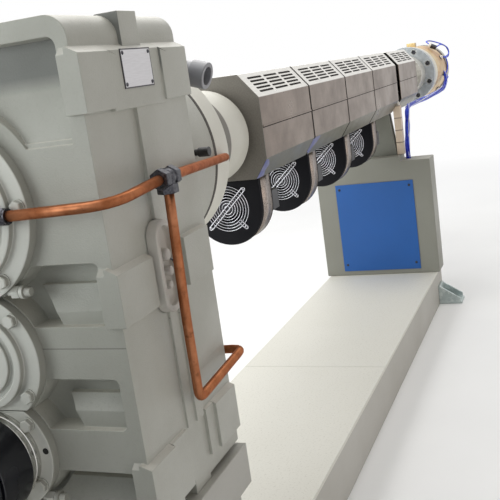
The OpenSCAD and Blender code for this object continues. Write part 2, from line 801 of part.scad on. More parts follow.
// Blower under one heating zone: a scroll housing with a round intake
module fan(i) {
    x0 = fan_x0 + i * fan_pitch;
    color("black") at_machine() difference() {
        union() {
            along_x(x0, x0 + fan_d) fan_outline(fan_r - 2);
            along_x(x0 + 5, x0 + 8) fan_outline(fan_r);
            along_x(x0 + fan_d - 8, x0 + fan_d - 5) fan_outline(fan_r);
        }
        round_x(x0 - fuse, x0 + fan_d - 14, guard_r - 4, 0, fan_z);
    }
}

module fan_1() { fan(0); }
module fan_2() { fan(1); }
module fan_3() { fan(2); }
module fan_4() { fan(3); }

// Motors on the front side of the blowers, each with a capacitor box
module fan_motors() {
    color("dimgray") at_machine()
        for (i = [0:3]) {
            x0 = fan_x0 + i * fan_pitch + fan_d;
            round_x(x0, x0 + 76, 52, 0, fan_z);
            block([x0 + 10, -92, fan_z - 30], [x0 + 62, -40, fan_z + 24]);
        }
}

// Round wire guards over the blowers' intakes
module fan_guards() {
    wire = 2;
    color("gainsboro") at_machine()
        for (i = [0:3]) translate([fan_x0 + i * fan_pitch - wire, 0, fan_z]) rotate([0, 90, 0]) {
            for (r = [12:12:guard_r])
                rotate_extrude() translate([r, 0]) square([wire, wire]);
            for (turn = [-45, 45]) rotate(turn)
                translate([-guard_r - 8, -wire / 2, 0]) cube([2 * guard_r + 16, wire, wire]);
        }
}

// Two tapered neck plates and a clamp ring that carry the barrel on the pedestal
module barrel_support() {
    ring_r = 112;
    margin = 6;
    plate_t = 16;
    neck_z = pedestal_top + 22;
    color("gray") at_machine() difference() {
        union() {
            for (x = [support_x0 + margin, support_x1 - margin - plate_t])
                along_x(x, x + plate_t) polygon([
                    [-112, neck_z], [112, neck_z], [84, axis_h - 60], [-84, axis_h - 60]]);
            round_x(support_x0 + margin, support_x1 - margin, ring_r);
        }
        round_x(support_x0, support_x1, barrel_r + fit);
    }
}

// Sheet-metal pedestal with a raised seat for the neck
module pedestal() {
    color("darkgray") at_machine() {
        block([pedestal_x, -pedestal_w / 2, base_h], [pedestal_x1, pedestal_w / 2, pedestal_top]);
        block([pedestal_x, -132, pedestal_top - fuse], [pedestal_x1, 132, pedestal_top + 22]);
    }
}

// Blue panel screwed to the rear of the pedestal
module pedestal_panel() {
    color("royalblue") at_machine()
        block([pedestal_x - 4, -panel_w / 2 - 2, base_h + 22], [pedestal_x, panel_w / 2 - 2, base_h + 22 + panel_h]);
}

// Flange on the barrel's end, with counterbored bolt holes
module barrel_flange() {
    color("darkgray") at_machine() difference() {
        round_x(end_flange_x, end_flange_x + end_flange_t, end_flange_r);
        round_x(end_flange_x - fuse, end_flange_x + end_flange_t + fuse, bore_r);
        for (i = [0:7]) {
            turn = 45 * i + 22;
            y = 128 * cos(turn);
            z = axis_h + 128 * sin(turn);
            round_x(end_flange_x - fuse, end_flange_x + 16, 12, y, z);
        }
    }
}

// Radius of the adapter's body under the heater ring
adapter_r = 118;

// Adapter that leads the melt to the die, with a drilled flange at its end
module die_adapter() {
    color("slategray") at_machine() difference() {
        union() {
            round_x(adapter_x0, die_x1 - 10, adapter_r);
            round_x(die_x1 - die_flange_t, die_x1, end_flange_r);
        }
        translate([adapter_x0 - fuse, 0, axis_h]) rotate([0, 90, 0])
            cylinder(r1 = bore_r, r2 = outlet_r, h = 120);
        round_x(adapter_x0 + 110, die_x1 + fuse, outlet_r);
        for (i = [0:7])
            round_x(die_x1 - die_flange_t - fuse, die_x1 + fuse, die_hole_r,
                die_pcd / 2 * cos(45 * i + 22.5), axis_h + die_pcd / 2 * sin(45 * i + 22.5));
    }
}

// Heater ring clamped round the adapter
module adapter_heater() {
    ring_t = 30;
    color("tan") at_machine() difference() {
        union() {
            round_x(heater_x0, heater_x0 + heater_l, adapter_r + ring_t);
            block([heater_x0 + 40, -24, axis_h + adapter_r + ring_t - 8],
                [heater_x0 + 90, 24, axis_h + adapter_r + ring_t + 22]);
        }
        round_x(heater_x0 - fuse, heater_x0 + heater_l + fuse, adapter_r + fit);
    }
}

// Beige wiring trunk beside the neck, from the covers down to the pedestal
module wire_trunk() {
    length = 54;
    color("bisque") at_machine()
        for (i = [0:3])
            block([support_x0 + 6, -145, pedestal_top + 22 + length * i],
                [support_x0 + 42, -114, pedestal_top + 22 + length * (i + 1) - fit]);
}

// Route of the heater's wires along the bare barrel and down to the pedestal
wire_r = 11;
wire_y = -cover_half_w - 15;
wire_points = [[heater_x0 + 225, wire_y + 9, axis_h - 22], [heater_x0 + 200, wire_y, axis_h - 66],
    [heater_x0 + 100, wire_y - 1, axis_h - 98], [heater_x0, wire_y - 1, axis_h - 108],
    [end_flange_x - 40, wire_y, axis_h - 112], [zones_x1 + 160, wire_y, axis_h - 113],
    [zones_x1 - 100, wire_y, axis_h - 109],
    [support_x0 + 160, wire_y - 2, axis_h - 106], [support_x0 + 80, wire_y - 6, axis_h - 110],
    [support_x0 + 36, wire_y - 10, axis_h - 128], [support_x0 + 20, wire_y - 8, axis_h - 190],
    [support_x0 + 14, wire_y - 2, axis_h - 260], [support_x0 + 12, wire_y, pedestal_top + 1]];

// Bundle of blue heater wires
module heater_wires() {
    color("blue") at_machine() swept_tube(wire_points, wire_r, 8);
}

base_frame();
deck_plates();
foot_brackets();
gearbox_seat();
motor_stand();
gearbox_casing();
output_cover();
intermediate_cover();
input_cover();
coupling();
drive_motor();
motor_fan_cowl();
motor_terminal_box();
label_plate();
oil_gauge();
oil_pipe_rear();
oil_pipe_thrust();
oil_pipe_drop();
pipe_tee();
breather_plug();
vent_elbow();
thrust_flange();
feed_section();
barrel();
screw();
cover_end_plates();
zone_cover_1();
zone_cover_2();
zone_cover_3();
zone_cover_4();
zone_cover_5();
fan_1();
fan_2();
fan_3();
fan_4();
fan_motors();
fan_guards();
barrel_support();
pedestal();
pedestal_panel();
barrel_flange();
die_adapter();
adapter_heater();
wire_trunk();
heater_wires();
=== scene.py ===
import math
import bmesh
import bpy
from mathutils import Matrix, Vector


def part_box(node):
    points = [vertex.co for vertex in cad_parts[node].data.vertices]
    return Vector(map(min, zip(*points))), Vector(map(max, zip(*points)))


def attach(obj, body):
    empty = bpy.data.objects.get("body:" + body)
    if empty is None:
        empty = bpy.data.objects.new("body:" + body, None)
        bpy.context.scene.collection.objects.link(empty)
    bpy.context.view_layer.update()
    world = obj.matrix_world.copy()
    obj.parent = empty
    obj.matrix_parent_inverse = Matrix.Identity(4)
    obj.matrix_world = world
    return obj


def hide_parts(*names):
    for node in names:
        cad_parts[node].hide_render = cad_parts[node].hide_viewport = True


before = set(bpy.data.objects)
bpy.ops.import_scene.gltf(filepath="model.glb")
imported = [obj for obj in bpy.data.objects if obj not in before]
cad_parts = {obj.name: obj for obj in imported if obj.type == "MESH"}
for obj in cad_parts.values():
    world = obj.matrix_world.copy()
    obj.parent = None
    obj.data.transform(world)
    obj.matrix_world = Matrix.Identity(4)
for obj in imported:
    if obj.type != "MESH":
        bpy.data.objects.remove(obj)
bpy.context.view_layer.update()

# The viewpoint: someone of average height stands behind the drive, near the side with the oil
# pipes, and looks along the screw and a little down, with the head tilted slightly.
REDUCER_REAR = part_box("output_cover")[1].x


def at(x, y, z):
    """A place in metres from millimetres along the machine, counted from the reducer's rear face."""
    return Vector((REDUCER_REAR + x / 1000, y / 1000, z / 1000))


def stood(name, shape):
    """Puts a mesh, lamp or camera in the scene under a name."""
    made = bpy.data.objects.new(name, shape)
    bpy.context.scene.collection.objects.link(made)
    return made


eye = bpy.data.cameras.new("onlooker")
eye.sensor_width = 36
eye.lens = 59.352
eye.clip_start = 0.02
eye.clip_end = 100
onlooker = stood("onlooker", eye)
look_right = Vector((0.35251, -0.92558, -0.13797))
look_up = Vector((0.24750, -0.04998, 0.96760))
look_back = look_right.cross(look_up)
turn = Matrix((look_right, look_up, look_back)).transposed().to_4x4()
onlooker.matrix_world = Matrix.Translation(at(-976.27, -868.77, 1150.08)) @ turn
bpy.context.scene.camera = onlooker
bpy.context.scene.view_settings.view_transform = "Standard"

# The studio: a pale floor that runs out into white, one wide soft lamp overhead, one on the side
# of the oil pipes and one behind the drive, and an even pale surround that looks white.


def feed(tree, plug, value):
    """Gives a node's input a number, a colour or another node's result."""
    if isinstance(value, bpy.types.NodeSocket):
        tree.links.new(value, plug)
    else:
        plug.default_value = value


def fill(tree, node, **values):
    """Feeds a node's inputs by their names, with underscores for spaces."""
    for label, value in values.items():
        feed(tree, node.inputs[label.replace("_", " ")], value)
    return node


def put(tree, kind, settings=None, **values):
    """Adds a node with its settings and its inputs."""
    made = tree.nodes.new(kind)
    for key, value in (settings or {}).items():
        setattr(made, key, value)
    return fill(tree, made, **values)


def figure(tree, operation, *values):
    """Works out a product, difference or the like of numbers and other nodes' results."""
    made = put(tree, "ShaderNodeMath", {"operation": operation})
    for plug, value in zip(made.inputs, values):
        feed(tree, plug, value)
    return made.outputs[0]


def ramp(tree, value, low, high, start=0.0, end=1.0, clamp=True):
    """Stretches a value between two limits to the range from start to end."""
    return put(tree, "ShaderNodeMapRange", {"clamp": clamp}, Value=value, From_Min=low, From_Max=high,
               To_Min=start, To_Max=end).outputs[0]


def blend(tree, amount, first, second, mode="MIX"):
    """Mixes two colours by an amount and returns the colour."""
    mixer = put(tree, "ShaderNodeMix", {"data_type": "RGBA", "blend_type": mode})
    for index, value in ((0, amount), (6, first), (7, second)):
        feed(tree, mixer.inputs[index], value)
    return mixer.outputs[2]


def either(tree, amount, first, second):
    """Fades one surface into another by an amount."""
    made = put(tree, "ShaderNodeMixShader", Fac=amount)
    feed(tree, made.inputs[1], first)
    feed(tree, made.inputs[2], second)
    return made.outputs[0]


def rgb(red, green, blue):
    """A colour as the photograph shows it, 0 to 255, turned into the renderer's linear values."""
    linear = []
    for part in (red, green, blue):
        c = part / 255
        linear.append(c / 12.92 if c <= 0.04045 else ((c + 0.055) / 1.055) ** 2.4)
    return (*linear, 1.0)


def places(tree):
    """Where each point of a piece lies, in the machine's own metres."""
    return put(tree, "ShaderNodeTexCoord").outputs["Object"]


def stretched(tree, where, across):
    """The same places, drawn out along the axes whose factor is small."""
    return put(tree, "ShaderNodeMapping", Vector=where, Scale=across).outputs[0]


def noise(tree, where, scale, detail=2.0, rough=0.5):
    """Cloudy patches or grain, finer with a higher scale."""
    return put(tree, "ShaderNodeTexNoise", Vector=where, Scale=scale, Detail=detail,
               Roughness=rough).outputs["Fac"]


def found(tree, kind):
    """The one node of a kind in a tree."""
    return next(n for n in tree.nodes if n.type == kind)


def new_material(name):
    """An empty material: the material, its node tree, its surface and the places on the piece."""
    made = bpy.data.materials.new(name)
    made.use_nodes = True
    tree = made.node_tree
    tree.nodes.clear()
    surface = tree.nodes.new("ShaderNodeBsdfPrincipled")
    out = tree.nodes.new("ShaderNodeOutputMaterial")
    tree.links.new(surface.outputs[0], out.inputs[0])
    return made, tree, surface, places(tree)


def shaped(name, corners, faces, material):
    """A finished object at the origin, made from points in metres and faces."""
    mesh = bpy.data.meshes.new(name)
    mesh.from_pydata([tuple(c) for c in corners], [], faces)
    mesh.update()
    mesh.materials.append(material)
    return stood(name, mesh)


def lamp(name, place, target, width, length, power, tint):
    """A soft rectangular lamp turned to a target, with its light's colour."""
    light = bpy.data.lights.new(name, "AREA")
    light.shape = "RECTANGLE"
    light.size = width
    light.size_y = length
    light.energy = power
    light.color = tint
    made = stood(name, light)
    made.location = place
    made.rotation_mode = "QUATERNION"
    made.rotation_quaternion = (Vector(target) - Vector(place)).to_track_quat("-Z", "Y")


WHITE = (1.0, 1.0, 1.0, 1.0)
floor_look, tree, surface, where = new_material("studio_floor")
pale = blend(tree, ramp(tree, noise(tree, where, 1.3, 3.0), 0.3, 0.7), rgb(240, 240, 239), rgb(246, 246, 245))
fill(tree, surface, Base_Color=pale, Roughness=0.75, Specular_IOR_Level=0.2)
oval = stretched(tree, where, (0.6, 1.0, 1.0))
away = put(tree, "ShaderNodeVectorMath", {"operation": "LENGTH"}, Vector=oval).outputs["Value"]
rays = put(tree, "ShaderNodeLightPath").outputs
direct = figure(tree, "MAXIMUM", rays["Is Camera Ray"], rays["Is Glossy Ray"])
fade = figure(tree, "MULTIPLY", ramp(tree, away, 0.9, 3.6), direct)
white = put(tree, "ShaderNodeEmission", Color=WHITE, Strength=1.0)
feed(tree, found(tree, "OUTPUT_MATERIAL").inputs[0], either(tree, fade, surface.outputs[0], white.outputs[0]))
far, below = 40, -0.0005
floor = shaped("studio_floor", [(-far, -far, below), (far, -far, below), (far, far, below), (-far, far, below)],
               [(0, 1, 2, 3)], floor_look)

world = bpy.data.worlds.new("surround")
bpy.context.scene.world = world
world.use_nodes = True
tree = world.node_tree
tree.nodes.clear()
rays = put(tree, "ShaderNodeLightPath").outputs
mirrored = figure(tree, "MAXIMUM", rays["Is Glossy Ray"], rays["Is Transmission Ray"])
seen = figure(tree, "MAXIMUM", rays["Is Camera Ray"], mirrored)
plain = put(tree, "ShaderNodeBackground", Color=rgb(236, 238, 240), Strength=0.38)
shown = put(tree, "ShaderNodeBackground", Color=WHITE, Strength=1.0)
out = tree.nodes.new("ShaderNodeOutputWorld")
feed(tree, out.inputs[0], either(tree, seen, plain.outputs[0], shown.outputs[0]))

lamp("overhead", (0.6, 1.1, 4.6), (0.2, 0.0, 0.0), 8.0, 4.5, 305, (1.0, 0.995, 0.985))
lamp("pipe_side", (-1.0, -5.2, 2.2), (0.0, 0.0, 0.7), 6.0, 2.2, 31, (1.0, 0.80, 0.64))
lamp("behind_drive", (-4.4, 2.6, 1.8), (-1.5, 0.0, 0.5), 2.6, 2.2, 62, (0.95, 1.0, 0.98))

# The base: two long steel channels with cross members and deck plates, welded and sprayed with
# the same light grey enamel as the machine. Fine specks of dust and overspray lie on its top.


def new_group(name, kind, inputs, outputs):
    """An empty node group: its named inputs have a kind and a start value, its outputs a kind."""
    group = bpy.data.node_groups.new(name, kind)
    for label, (sort, start) in inputs.items():
        socket = group.interface.new_socket(label, in_out="INPUT", socket_type="NodeSocket" + sort)
        if start is not None:
            socket.default_value = start
    for label, sort in outputs.items():
        group.interface.new_socket(label, in_out="OUTPUT", socket_type="NodeSocket" + sort)
    given = group.nodes.new("NodeGroupInput").outputs
    return group, given, group.nodes.new("NodeGroupOutput").inputs


def axis_of(tree, vector, axis):
    """One axis of a place or a direction."""
    return put(tree, "ShaderNodeSeparateXYZ", Vector=vector).outputs[axis]


def facing(tree, axis):
    """How far a surface faces along an axis, from -1 to 1."""
    return axis_of(tree, put(tree, "ShaderNodeNewGeometry").outputs["Normal"], axis)


def enamel_group():
    """Sprayed enamel: soft patches, fine specks that lie more on upward faces, a pale layer on upward faces that is
    dust and painted top light, and orange peel.
    """
    group, given, result = new_group(
        "sprayed_enamel", "ShaderNodeTree",
        {"Paint": ("Color", (0.5, 0.5, 0.5, 1)), "Patch Depth": ("Float", 0.12), "Patch Size": ("Float", 3.0),
         "Specks": ("Float", 0.3), "Dust": ("Float", 0.2), "Gloss Low": ("Float", 0.38),
         "Gloss High": ("Float", 0.6), "Peel": ("Float", 1.0)},
        {"Colour": "Color", "Roughness": "Float", "Height": "Float"})
    spot = places(group)
    upward = facing(group, "Z")
    patches = noise(group, spot, given["Patch Size"], 5.0, 0.55)
    peel = noise(group, spot, 420.0)
    grit = noise(group, spot, 160.0, 3.0, 0.7)
    darker = blend(group, 1.0, given["Paint"], (0.58, 0.56, 0.52, 1), "MULTIPLY")
    shade = figure(group, "MULTIPLY", ramp(group, patches, 0.35, 0.68), given["Patch Depth"])
    colour = blend(group, shade, given["Paint"], darker)
    lying = figure(group, "MULTIPLY", ramp(group, upward, 0.3, 1.0, 0.25, 1.0), given["Specks"])
    specks = figure(group, "MULTIPLY", ramp(group, grit, 0.56, 0.66), lying)
    colour = blend(group, specks, colour, darker)
    # dust and painted top light: upward faces are mixed toward a pale colour
    dust_and_top_light_amount = figure(group, "MULTIPLY", ramp(group, upward, 0.5, 1.0), given["Dust"])
    feed(group, result["Colour"], blend(group, dust_and_top_light_amount, colour, rgb(222, 218, 206)))
    feed(group, result["Roughness"], ramp(group, patches, 0.3, 0.7, given["Gloss Low"], given["Gloss High"]))
    feed(group, result["Height"], figure(group, "MULTIPLY", peel, given["Peel"]))
    return group


ENAMEL = enamel_group()


def enamel(name, paint, depth=0.12, size=3.0, specks=0.3, dust_and_top_light=0.2, low=0.38, high=0.6, peel=1.0,
           bump=0.15, reach=0.0006, shine=0.5):
    """A coat of sprayed enamel in one colour."""
    made, tree, surface, spot = new_material(name)
    coat = put(tree, "ShaderNodeGroup", {"node_tree": ENAMEL}, Paint=paint, Patch_Depth=depth, Patch_Size=size,
               Specks=specks, Dust=dust_and_top_light, Gloss_Low=low, Gloss_High=high, Peel=peel).outputs
    relief = put(tree, "ShaderNodeBump", Strength=bump, Distance=reach, Height=coat["Height"])
    fill(tree, surface, Base_Color=coat["Colour"], Roughness=coat["Roughness"], Specular_IOR_Level=shine,
         Normal=relief.outputs[0])
    return made


def dress(name, material):
    """Gives a CAD piece its finish."""
    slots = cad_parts[name].material_slots
    for s in slots:
        s.material = material
    if not slots:
        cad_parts[name].data.materials.append(material)


dress("deck_plates", enamel("deck_enamel", rgb(224, 223, 214), depth=0.1, size=2.2, specks=0.55, dust_and_top_light=0.35,
                            low=0.4, high=0.62, bump=0.2))
dress("base_frame", enamel("frame_enamel", rgb(190, 188, 181), depth=0.2, size=2.5, dust_and_top_light=0.1))

# Anchor brackets: bent and welded plate with two gussets, hot-dip galvanised, so it shows
# pale blue-grey crystals. Each is bolted against the channel's web.


def merged_copy(name):
    """A copy of a CAD piece's mesh, and the same opened for work with its loose triangles joined."""
    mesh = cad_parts[name].data.copy()
    work = bmesh.new()
    work.from_mesh(mesh)
    bmesh.ops.remove_doubles(work, verts=work.verts, dist=1e-5)
    return mesh, work


def stand_in(name, mesh, work, material, even=False):
    """Closes a worked copy and shows it in place of its CAD piece, shaded evenly where asked."""
    for face in work.faces:
        face.smooth = True
    work.to_mesh(mesh)
    work.free()
    mesh.materials.clear()
    mesh.materials.append(material)
    mesh.set_sharp_from_angle(angle=math.radians(40))
    made = stood(name + "_dressed", mesh)
    if even:
        made.modifiers.new("even shading", "WEIGHTED_NORMAL").keep_sharp = True
    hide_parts(name)
    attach(made, "root")


def softened(name, radius, material, sharper_than=28, steps=2, merge_flats=True):
    """Breaks a CAD piece's edges as casting, bending or filing leaves them."""
    mesh, work = merged_copy(name)
    if merge_flats:
        bmesh.ops.dissolve_limit(work, angle_limit=math.radians(0.6), verts=work.verts, edges=work.edges)
    sharp = math.radians(sharper_than)
    crease = [e for e in work.edges
              if len(e.link_faces) == 2 and e.calc_face_angle(0) > sharp and e.calc_length() > 1e-4]
    bmesh.ops.bevel(work, geom=crease, offset=radius, segments=steps, profile=0.5, affect="EDGES",
                    clamp_overlap=False)
    bmesh.ops.remove_doubles(work, verts=work.verts, dist=2e-5)
    bmesh.ops.dissolve_degenerate(work, edges=work.edges, dist=1.5e-4)
    stand_in(name, mesh, work, material, even=True)


zinc, tree, surface, spot = new_material("galvanised")
crystals = put(tree, "ShaderNodeTexVoronoi", Vector=spot, Scale=90.0).outputs["Color"]
tone = put(tree, "ShaderNodeSeparateColor", Color=crystals).outputs[0]
cloud = ramp(tree, noise(tree, spot, 12.0, 4.0), 0.4, 0.7, 0.0, 0.5)
spangle = blend(tree, tone, rgb(176, 188, 188), rgb(208, 216, 214))
fill(tree, surface, Base_Color=blend(tree, cloud, spangle, rgb(148, 158, 156)),
     Roughness=ramp(tree, tone, 0.0, 1.0, 0.38, 0.58), Metallic=0.7)
softened("foot_brackets", 0.0015, zinc)

# The seat under the reducer: a welded box of plate with a thick machined top plate, painted
# with the reducer. Its front face runs a little ahead of the reducer's foot.
SEAT_GREY = rgb(172, 171, 164)
softened("gearbox_seat", 0.002, enamel("seat_enamel", SEAT_GREY, depth=0.25, dust_and_top_light=0.12))

# The reducer's casing: three iron castings bolted together at the shaft heights, with pads, ribs
# and hollows cast in, filled, sanded and sprayed grey. A fine parting line shows through the
# paint on its rear wall, and the top hollow's ceiling is darkened with painted shadow from its rim.


def repainted(material):
    """A coat's node tree, its surface and the colour it has so far, ready for one more layer."""
    tree = material.node_tree
    surface = found(tree, "BSDF_PRINCIPLED")
    return tree, surface, surface.inputs["Base Color"].links[0].from_socket


# The casing has the most of this pale layer: dust, and painted highlight on its upward faces and edges.
casing_look = enamel("casing_enamel", rgb(179, 180, 172), depth=0.32, size=4.5, specks=0.42, dust_and_top_light=0.5,
                     low=0.34, high=0.58, bump=0.45, reach=0.0012)
tree, surface, painted = repainted(casing_look)
joint_height = 0.785
hollow_from, hollow_to = at(6, 0, 0).x, at(12, 0, 0).x
spot = places(tree)
height = axis_of(tree, spot, "Z")
rearward = facing(tree, "X")
off_joint = figure(tree, "ABSOLUTE", figure(tree, "SUBTRACT", height, joint_height))
parting = figure(tree, "MULTIPLY", ramp(tree, off_joint, 0.0005, 0.0014, 0.55, 0.0),
                 ramp(tree, rearward, -0.97, -0.9, 1.0, 0.0))
# painted shadow: the top hollow's ceiling under the rim, above 1.16 m and over 6 mm in from the rear face, is darkened
hollow_ceiling_shade = figure(tree, "MULTIPLY", ramp(tree, height, 1.160, 1.182, 0.0, 0.78),
              ramp(tree, axis_of(tree, spot, "X"), hollow_from, hollow_to))
hollow_shade_amount = figure(tree, "MULTIPLY", hollow_ceiling_shade, ramp(tree, rearward, -0.8, -0.4, 1.0, 0.0))
with_hollow_shade = blend(tree, hollow_shade_amount, painted, rgb(92, 95, 93))
fill(tree, surface, Base_Color=blend(tree, parting, with_hollow_shade, rgb(92, 92, 86)))
softened("gearbox_casing", 0.0011, casing_look, sharper_than=20, merge_flats=False)

# Shaft covers: turned cast-iron discs screwed over the bearings with hexagon screws, the
# neighbours cut flat where they meet. Painted over with the casing, screws and all.
SCREW_AXIS, MIDDLE_AXIS, MOTOR_AXIS = 1000, 774, 616
COVER_FACE = -18
cover_look = enamel("cover_enamel", rgb(212, 213, 206), depth=0.16, size=6.0, specks=0.25, dust_and_top_light=0.1,
                    low=0.34, high=0.5, bump=0.18)
tree, surface, painted = repainted(cover_look)
# painted shade: faces that do not face rearward, such as the sides of the cover rims, screws and plugs, are darkened
rim_shade = ramp(tree, facing(tree, "X"), -0.8, -0.2, 0.0, 0.6)
fill(tree, surface, Base_Color=blend(tree, rim_shade, painted, rgb(108, 108, 98)))
for cover in ("output_cover", "intermediate_cover", "input_cover"):
    softened(cover, 0.002, cover_look, steps=3)


def vector(tree, x=0.0, y=0.0, z=0.0):
    """A place or size from its three parts."""
    return put(tree, "ShaderNodeCombineXYZ", X=x, Y=y, Z=z).outputs[0]


def moved(tree, shape, **how):
    """A shape moved, turned or scaled."""
    return put(tree, "GeometryNodeTransform", Geometry=shape, **how).outputs[0]


def joined(tree, *shapes):
    """Several shapes as one."""
    made = tree.nodes.new("GeometryNodeJoinGeometry")
    for shape in shapes:
        tree.links.new(shape, made.inputs[0])
    return made.outputs[0]


def set_on(tree, points, shape, **how):
    """A copy of a shape on every point."""
    return put(tree, "GeometryNodeInstanceOnPoints", Points=points, Instance=shape, **how).outputs[0]


def new_tree(name, **inputs):
    """An empty geometry tree that takes points, some named sizes and a material."""
    named = {label.replace("_", " "): start for label, start in inputs.items()}
    return new_group(name, "GeometryNodeTree",
                     {"Geometry": ("Geometry", None), **named, "Material": ("Material", None)},
                     {"Geometry": "Geometry"})


def solid_end(tree, copies, given, result, smooth=False):
    """Ends a tree: the copies become one real mesh, smooth where asked, and get their material."""
    solid = put(tree, "GeometryNodeRealizeInstances", Geometry=copies).outputs[0]
    if smooth:
        solid = put(tree, "GeometryNodeSetShadeSmooth", Geometry=solid).outputs[0]
    coated = put(tree, "GeometryNodeSetMaterial", Geometry=solid, Material=given["Material"])
    tree.links.new(coated.outputs[0], result[0])
    return tree


def screw_tree():
    """Hexagon screws with washers on every point of a mesh, each head turned at random."""
    tree, given, result = new_tree(
        "hexagon_screws", Head_Radius=("Float", 0.008), Head_Height=("Float", 0.006),
        Washer_Radius=("Float", 0.01), Washer_Height=("Float", 0.002), Turn=("Vector", None))
    radius, height, lift = given["Head Radius"], given["Head Height"], given["Washer Height"]
    head = put(tree, "GeometryNodeMeshCylinder", Vertices=6, Radius=radius,
               Depth=figure(tree, "MULTIPLY", height, 0.8)).outputs["Mesh"]
    crown = put(tree, "GeometryNodeMeshCone", Vertices=6, Radius_Top=figure(tree, "MULTIPLY", radius, 0.86),
                Radius_Bottom=radius, Depth=figure(tree, "MULTIPLY", height, 0.2)).outputs["Mesh"]
    washer = put(tree, "GeometryNodeMeshCylinder", Vertices=24, Radius=given["Washer Radius"],
                 Depth=lift).outputs["Mesh"]
    head_at = figure(tree, "ADD", lift, figure(tree, "MULTIPLY", height, 0.4))
    crown_at = figure(tree, "ADD", lift, figure(tree, "MULTIPLY", height, 0.8))
    stack = joined(tree, moved(tree, crown, Translation=vector(tree, z=crown_at)),
                   moved(tree, washer, Translation=vector(tree, z=figure(tree, "MULTIPLY", lift, 0.5))),
                   moved(tree, head, Translation=vector(tree, z=head_at)))
    spin = put(tree, "FunctionNodeRandomValue", {"data_type": "FLOAT"}, Seed=7)
    spin.inputs[2].default_value = 0.0
    spin.inputs[3].default_value = 1.05
    placed = set_on(tree, given["Geometry"], stack, Rotation=given["Turn"])
    turned = put(tree, "GeometryNodeRotateInstances", Instances=placed, Rotation=vector(tree, z=spin.outputs[1]))
    return solid_end(tree, turned.outputs[0], given, result)


def mounted(made):
    """Lets a new piece ride with the machine."""
    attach(made, "root")
    return made


def grown(tree, name, corners, edges=(), **inputs):
    """Runs a geometry tree on some points and returns the result as one plain finished object."""
    mesh = bpy.data.meshes.new(name + "_points")
    mesh.from_pydata([tuple(c) for c in corners], list(edges), [])
    carrier = stood(name + "_points", mesh)
    build = carrier.modifiers.new("build", "NODES")
    build.node_group = tree
    sockets = {s.name: s.identifier for s in tree.interface.items_tree
               if s.item_type == "SOCKET" and s.in_out == "INPUT"}
    for label, value in inputs.items():
        build[sockets[label.replace("_", " ")]] = value
    bpy.context.view_layer.update()
    finished = carrier.evaluated_get(bpy.context.evaluated_depsgraph_get())
    made = stood(name, bpy.data.meshes.new_from_object(finished))
    bpy.data.objects.remove(carrier)
    return made


SCREWS = screw_tree()
TO_REAR = (0.0, -math.pi / 2, 0.0)
TO_FRONT = (0.0, math.pi / 2, 0.0)
UPRIGHT = (0.0, 0.0, 0.0)


def screws(name, places, turn, radius, height, material, washer=1.25):
    """A set of hexagon screws that rides with the machine."""
    mounted(grown(SCREWS, name, places, Head_Radius=radius, Head_Height=height, Washer_Radius=radius * washer,
                  Washer_Height=0.0018, Turn=turn, Material=material))


def on_circle(x, axis, radius, angles):
    """Places on a circle round one of the shafts, in millimetres."""
    return [at(x, radius * math.cos(math.radians(a)), axis + radius * math.sin(math.radians(a))) for a in angles]


cover_screws = (on_circle(COVER_FACE, SCREW_AXIS, 126, [3, 61, 119, 177, 234, 306])
                + on_circle(COVER_FACE, MIDDLE_AXIS, 96, [-37, 41, 139, 217])
                + on_circle(COVER_FACE, MOTOR_AXIS, 83, [-104, -76, -36, 40, 140, 216]))
screws("cover_screws", cover_screws, TO_REAR, 0.0105, 0.0085, cover_look, washer=1.1)

# The coupling: a turned steel ring that shines, on the input shaft, and the coupling's two
# halves with their rubber-bushed pins, all in black gloss.
gloss_black, tree, surface, spot = new_material("black_gloss")
oil = noise(tree, spot, 14.0, 4.0)
fill(tree, surface, Base_Color=blend(tree, oil, rgb(16, 17, 21), rgb(34, 35, 42)),
     Roughness=ramp(tree, oil, 0.3, 0.7, 0.16, 0.32))
softened("coupling", 0.002, gloss_black, steps=3)


def turned_steel(name, light, dark, rough=0.3, metallic=1.0, across=(1.0, 1.0, 1.0)):
    """Machined steel with tool marks; the marks stretch where the across factors are small."""
    made, tree, surface, spot = new_material(name)
    marks = noise(tree, stretched(tree, spot, across), 260.0, 3.0)
    cloud = ramp(tree, noise(tree, spot, 5.0, 4.0), 0.45, 0.75, 0.0, 0.35)
    tone = blend(tree, ramp(tree, marks, 0.3, 0.7), dark, light)
    relief = put(tree, "ShaderNodeBump", Strength=0.12, Distance=0.0003, Height=marks)
    fill(tree, surface, Base_Color=blend(tree, cloud, tone, dark), Metallic=metallic, Normal=relief.outputs[0],
         Roughness=ramp(tree, marks, 0.25, 0.75, rough - 0.06, rough + 0.12))
    return made


def outward(made):
    """Joins a new mesh's doubled points and turns its faces outward."""
    work = bmesh.new()
    work.from_mesh(made.data)
    bmesh.ops.remove_doubles(work, verts=work.verts, dist=1e-6)
    bmesh.ops.dissolve_degenerate(work, edges=work.edges, dist=1e-7)
    bmesh.ops.recalc_face_normals(work, faces=work.faces)
    work.to_mesh(made.data)
    work.free()


def revolved(name, profile, feet, material, sides=96):
    """Turned pieces: a closed profile of (distance along the axis, radius) in metres, spun round the
    axis of every foot, which is a place and a direction."""
    corners, faces = [], []
    count = len(profile)
    for centre, axis in feet:
        axis = Vector(axis).normalized()
        side = axis.orthogonal().normalized()
        other = axis.cross(side)
        first = len(corners)
        for k in range(sides):
            angle = 2 * math.pi * k / sides
            spoke = side * math.cos(angle) + other * math.sin(angle)
            corners += [Vector(centre) + axis * along + spoke * radius for along, radius in profile]
            near, far = first + k * count, first + (k + 1) % sides * count
            for i in range(count):
                n = (i + 1) % count
                faces.append((near + i, near + n, far + n, far + i))
    made = shaped(name, corners, faces, material)
    outward(made)
    for face in made.data.polygons:
        face.use_smooth = True
    made.data.set_sharp_from_angle(angle=math.radians(32))
    mounted(made)


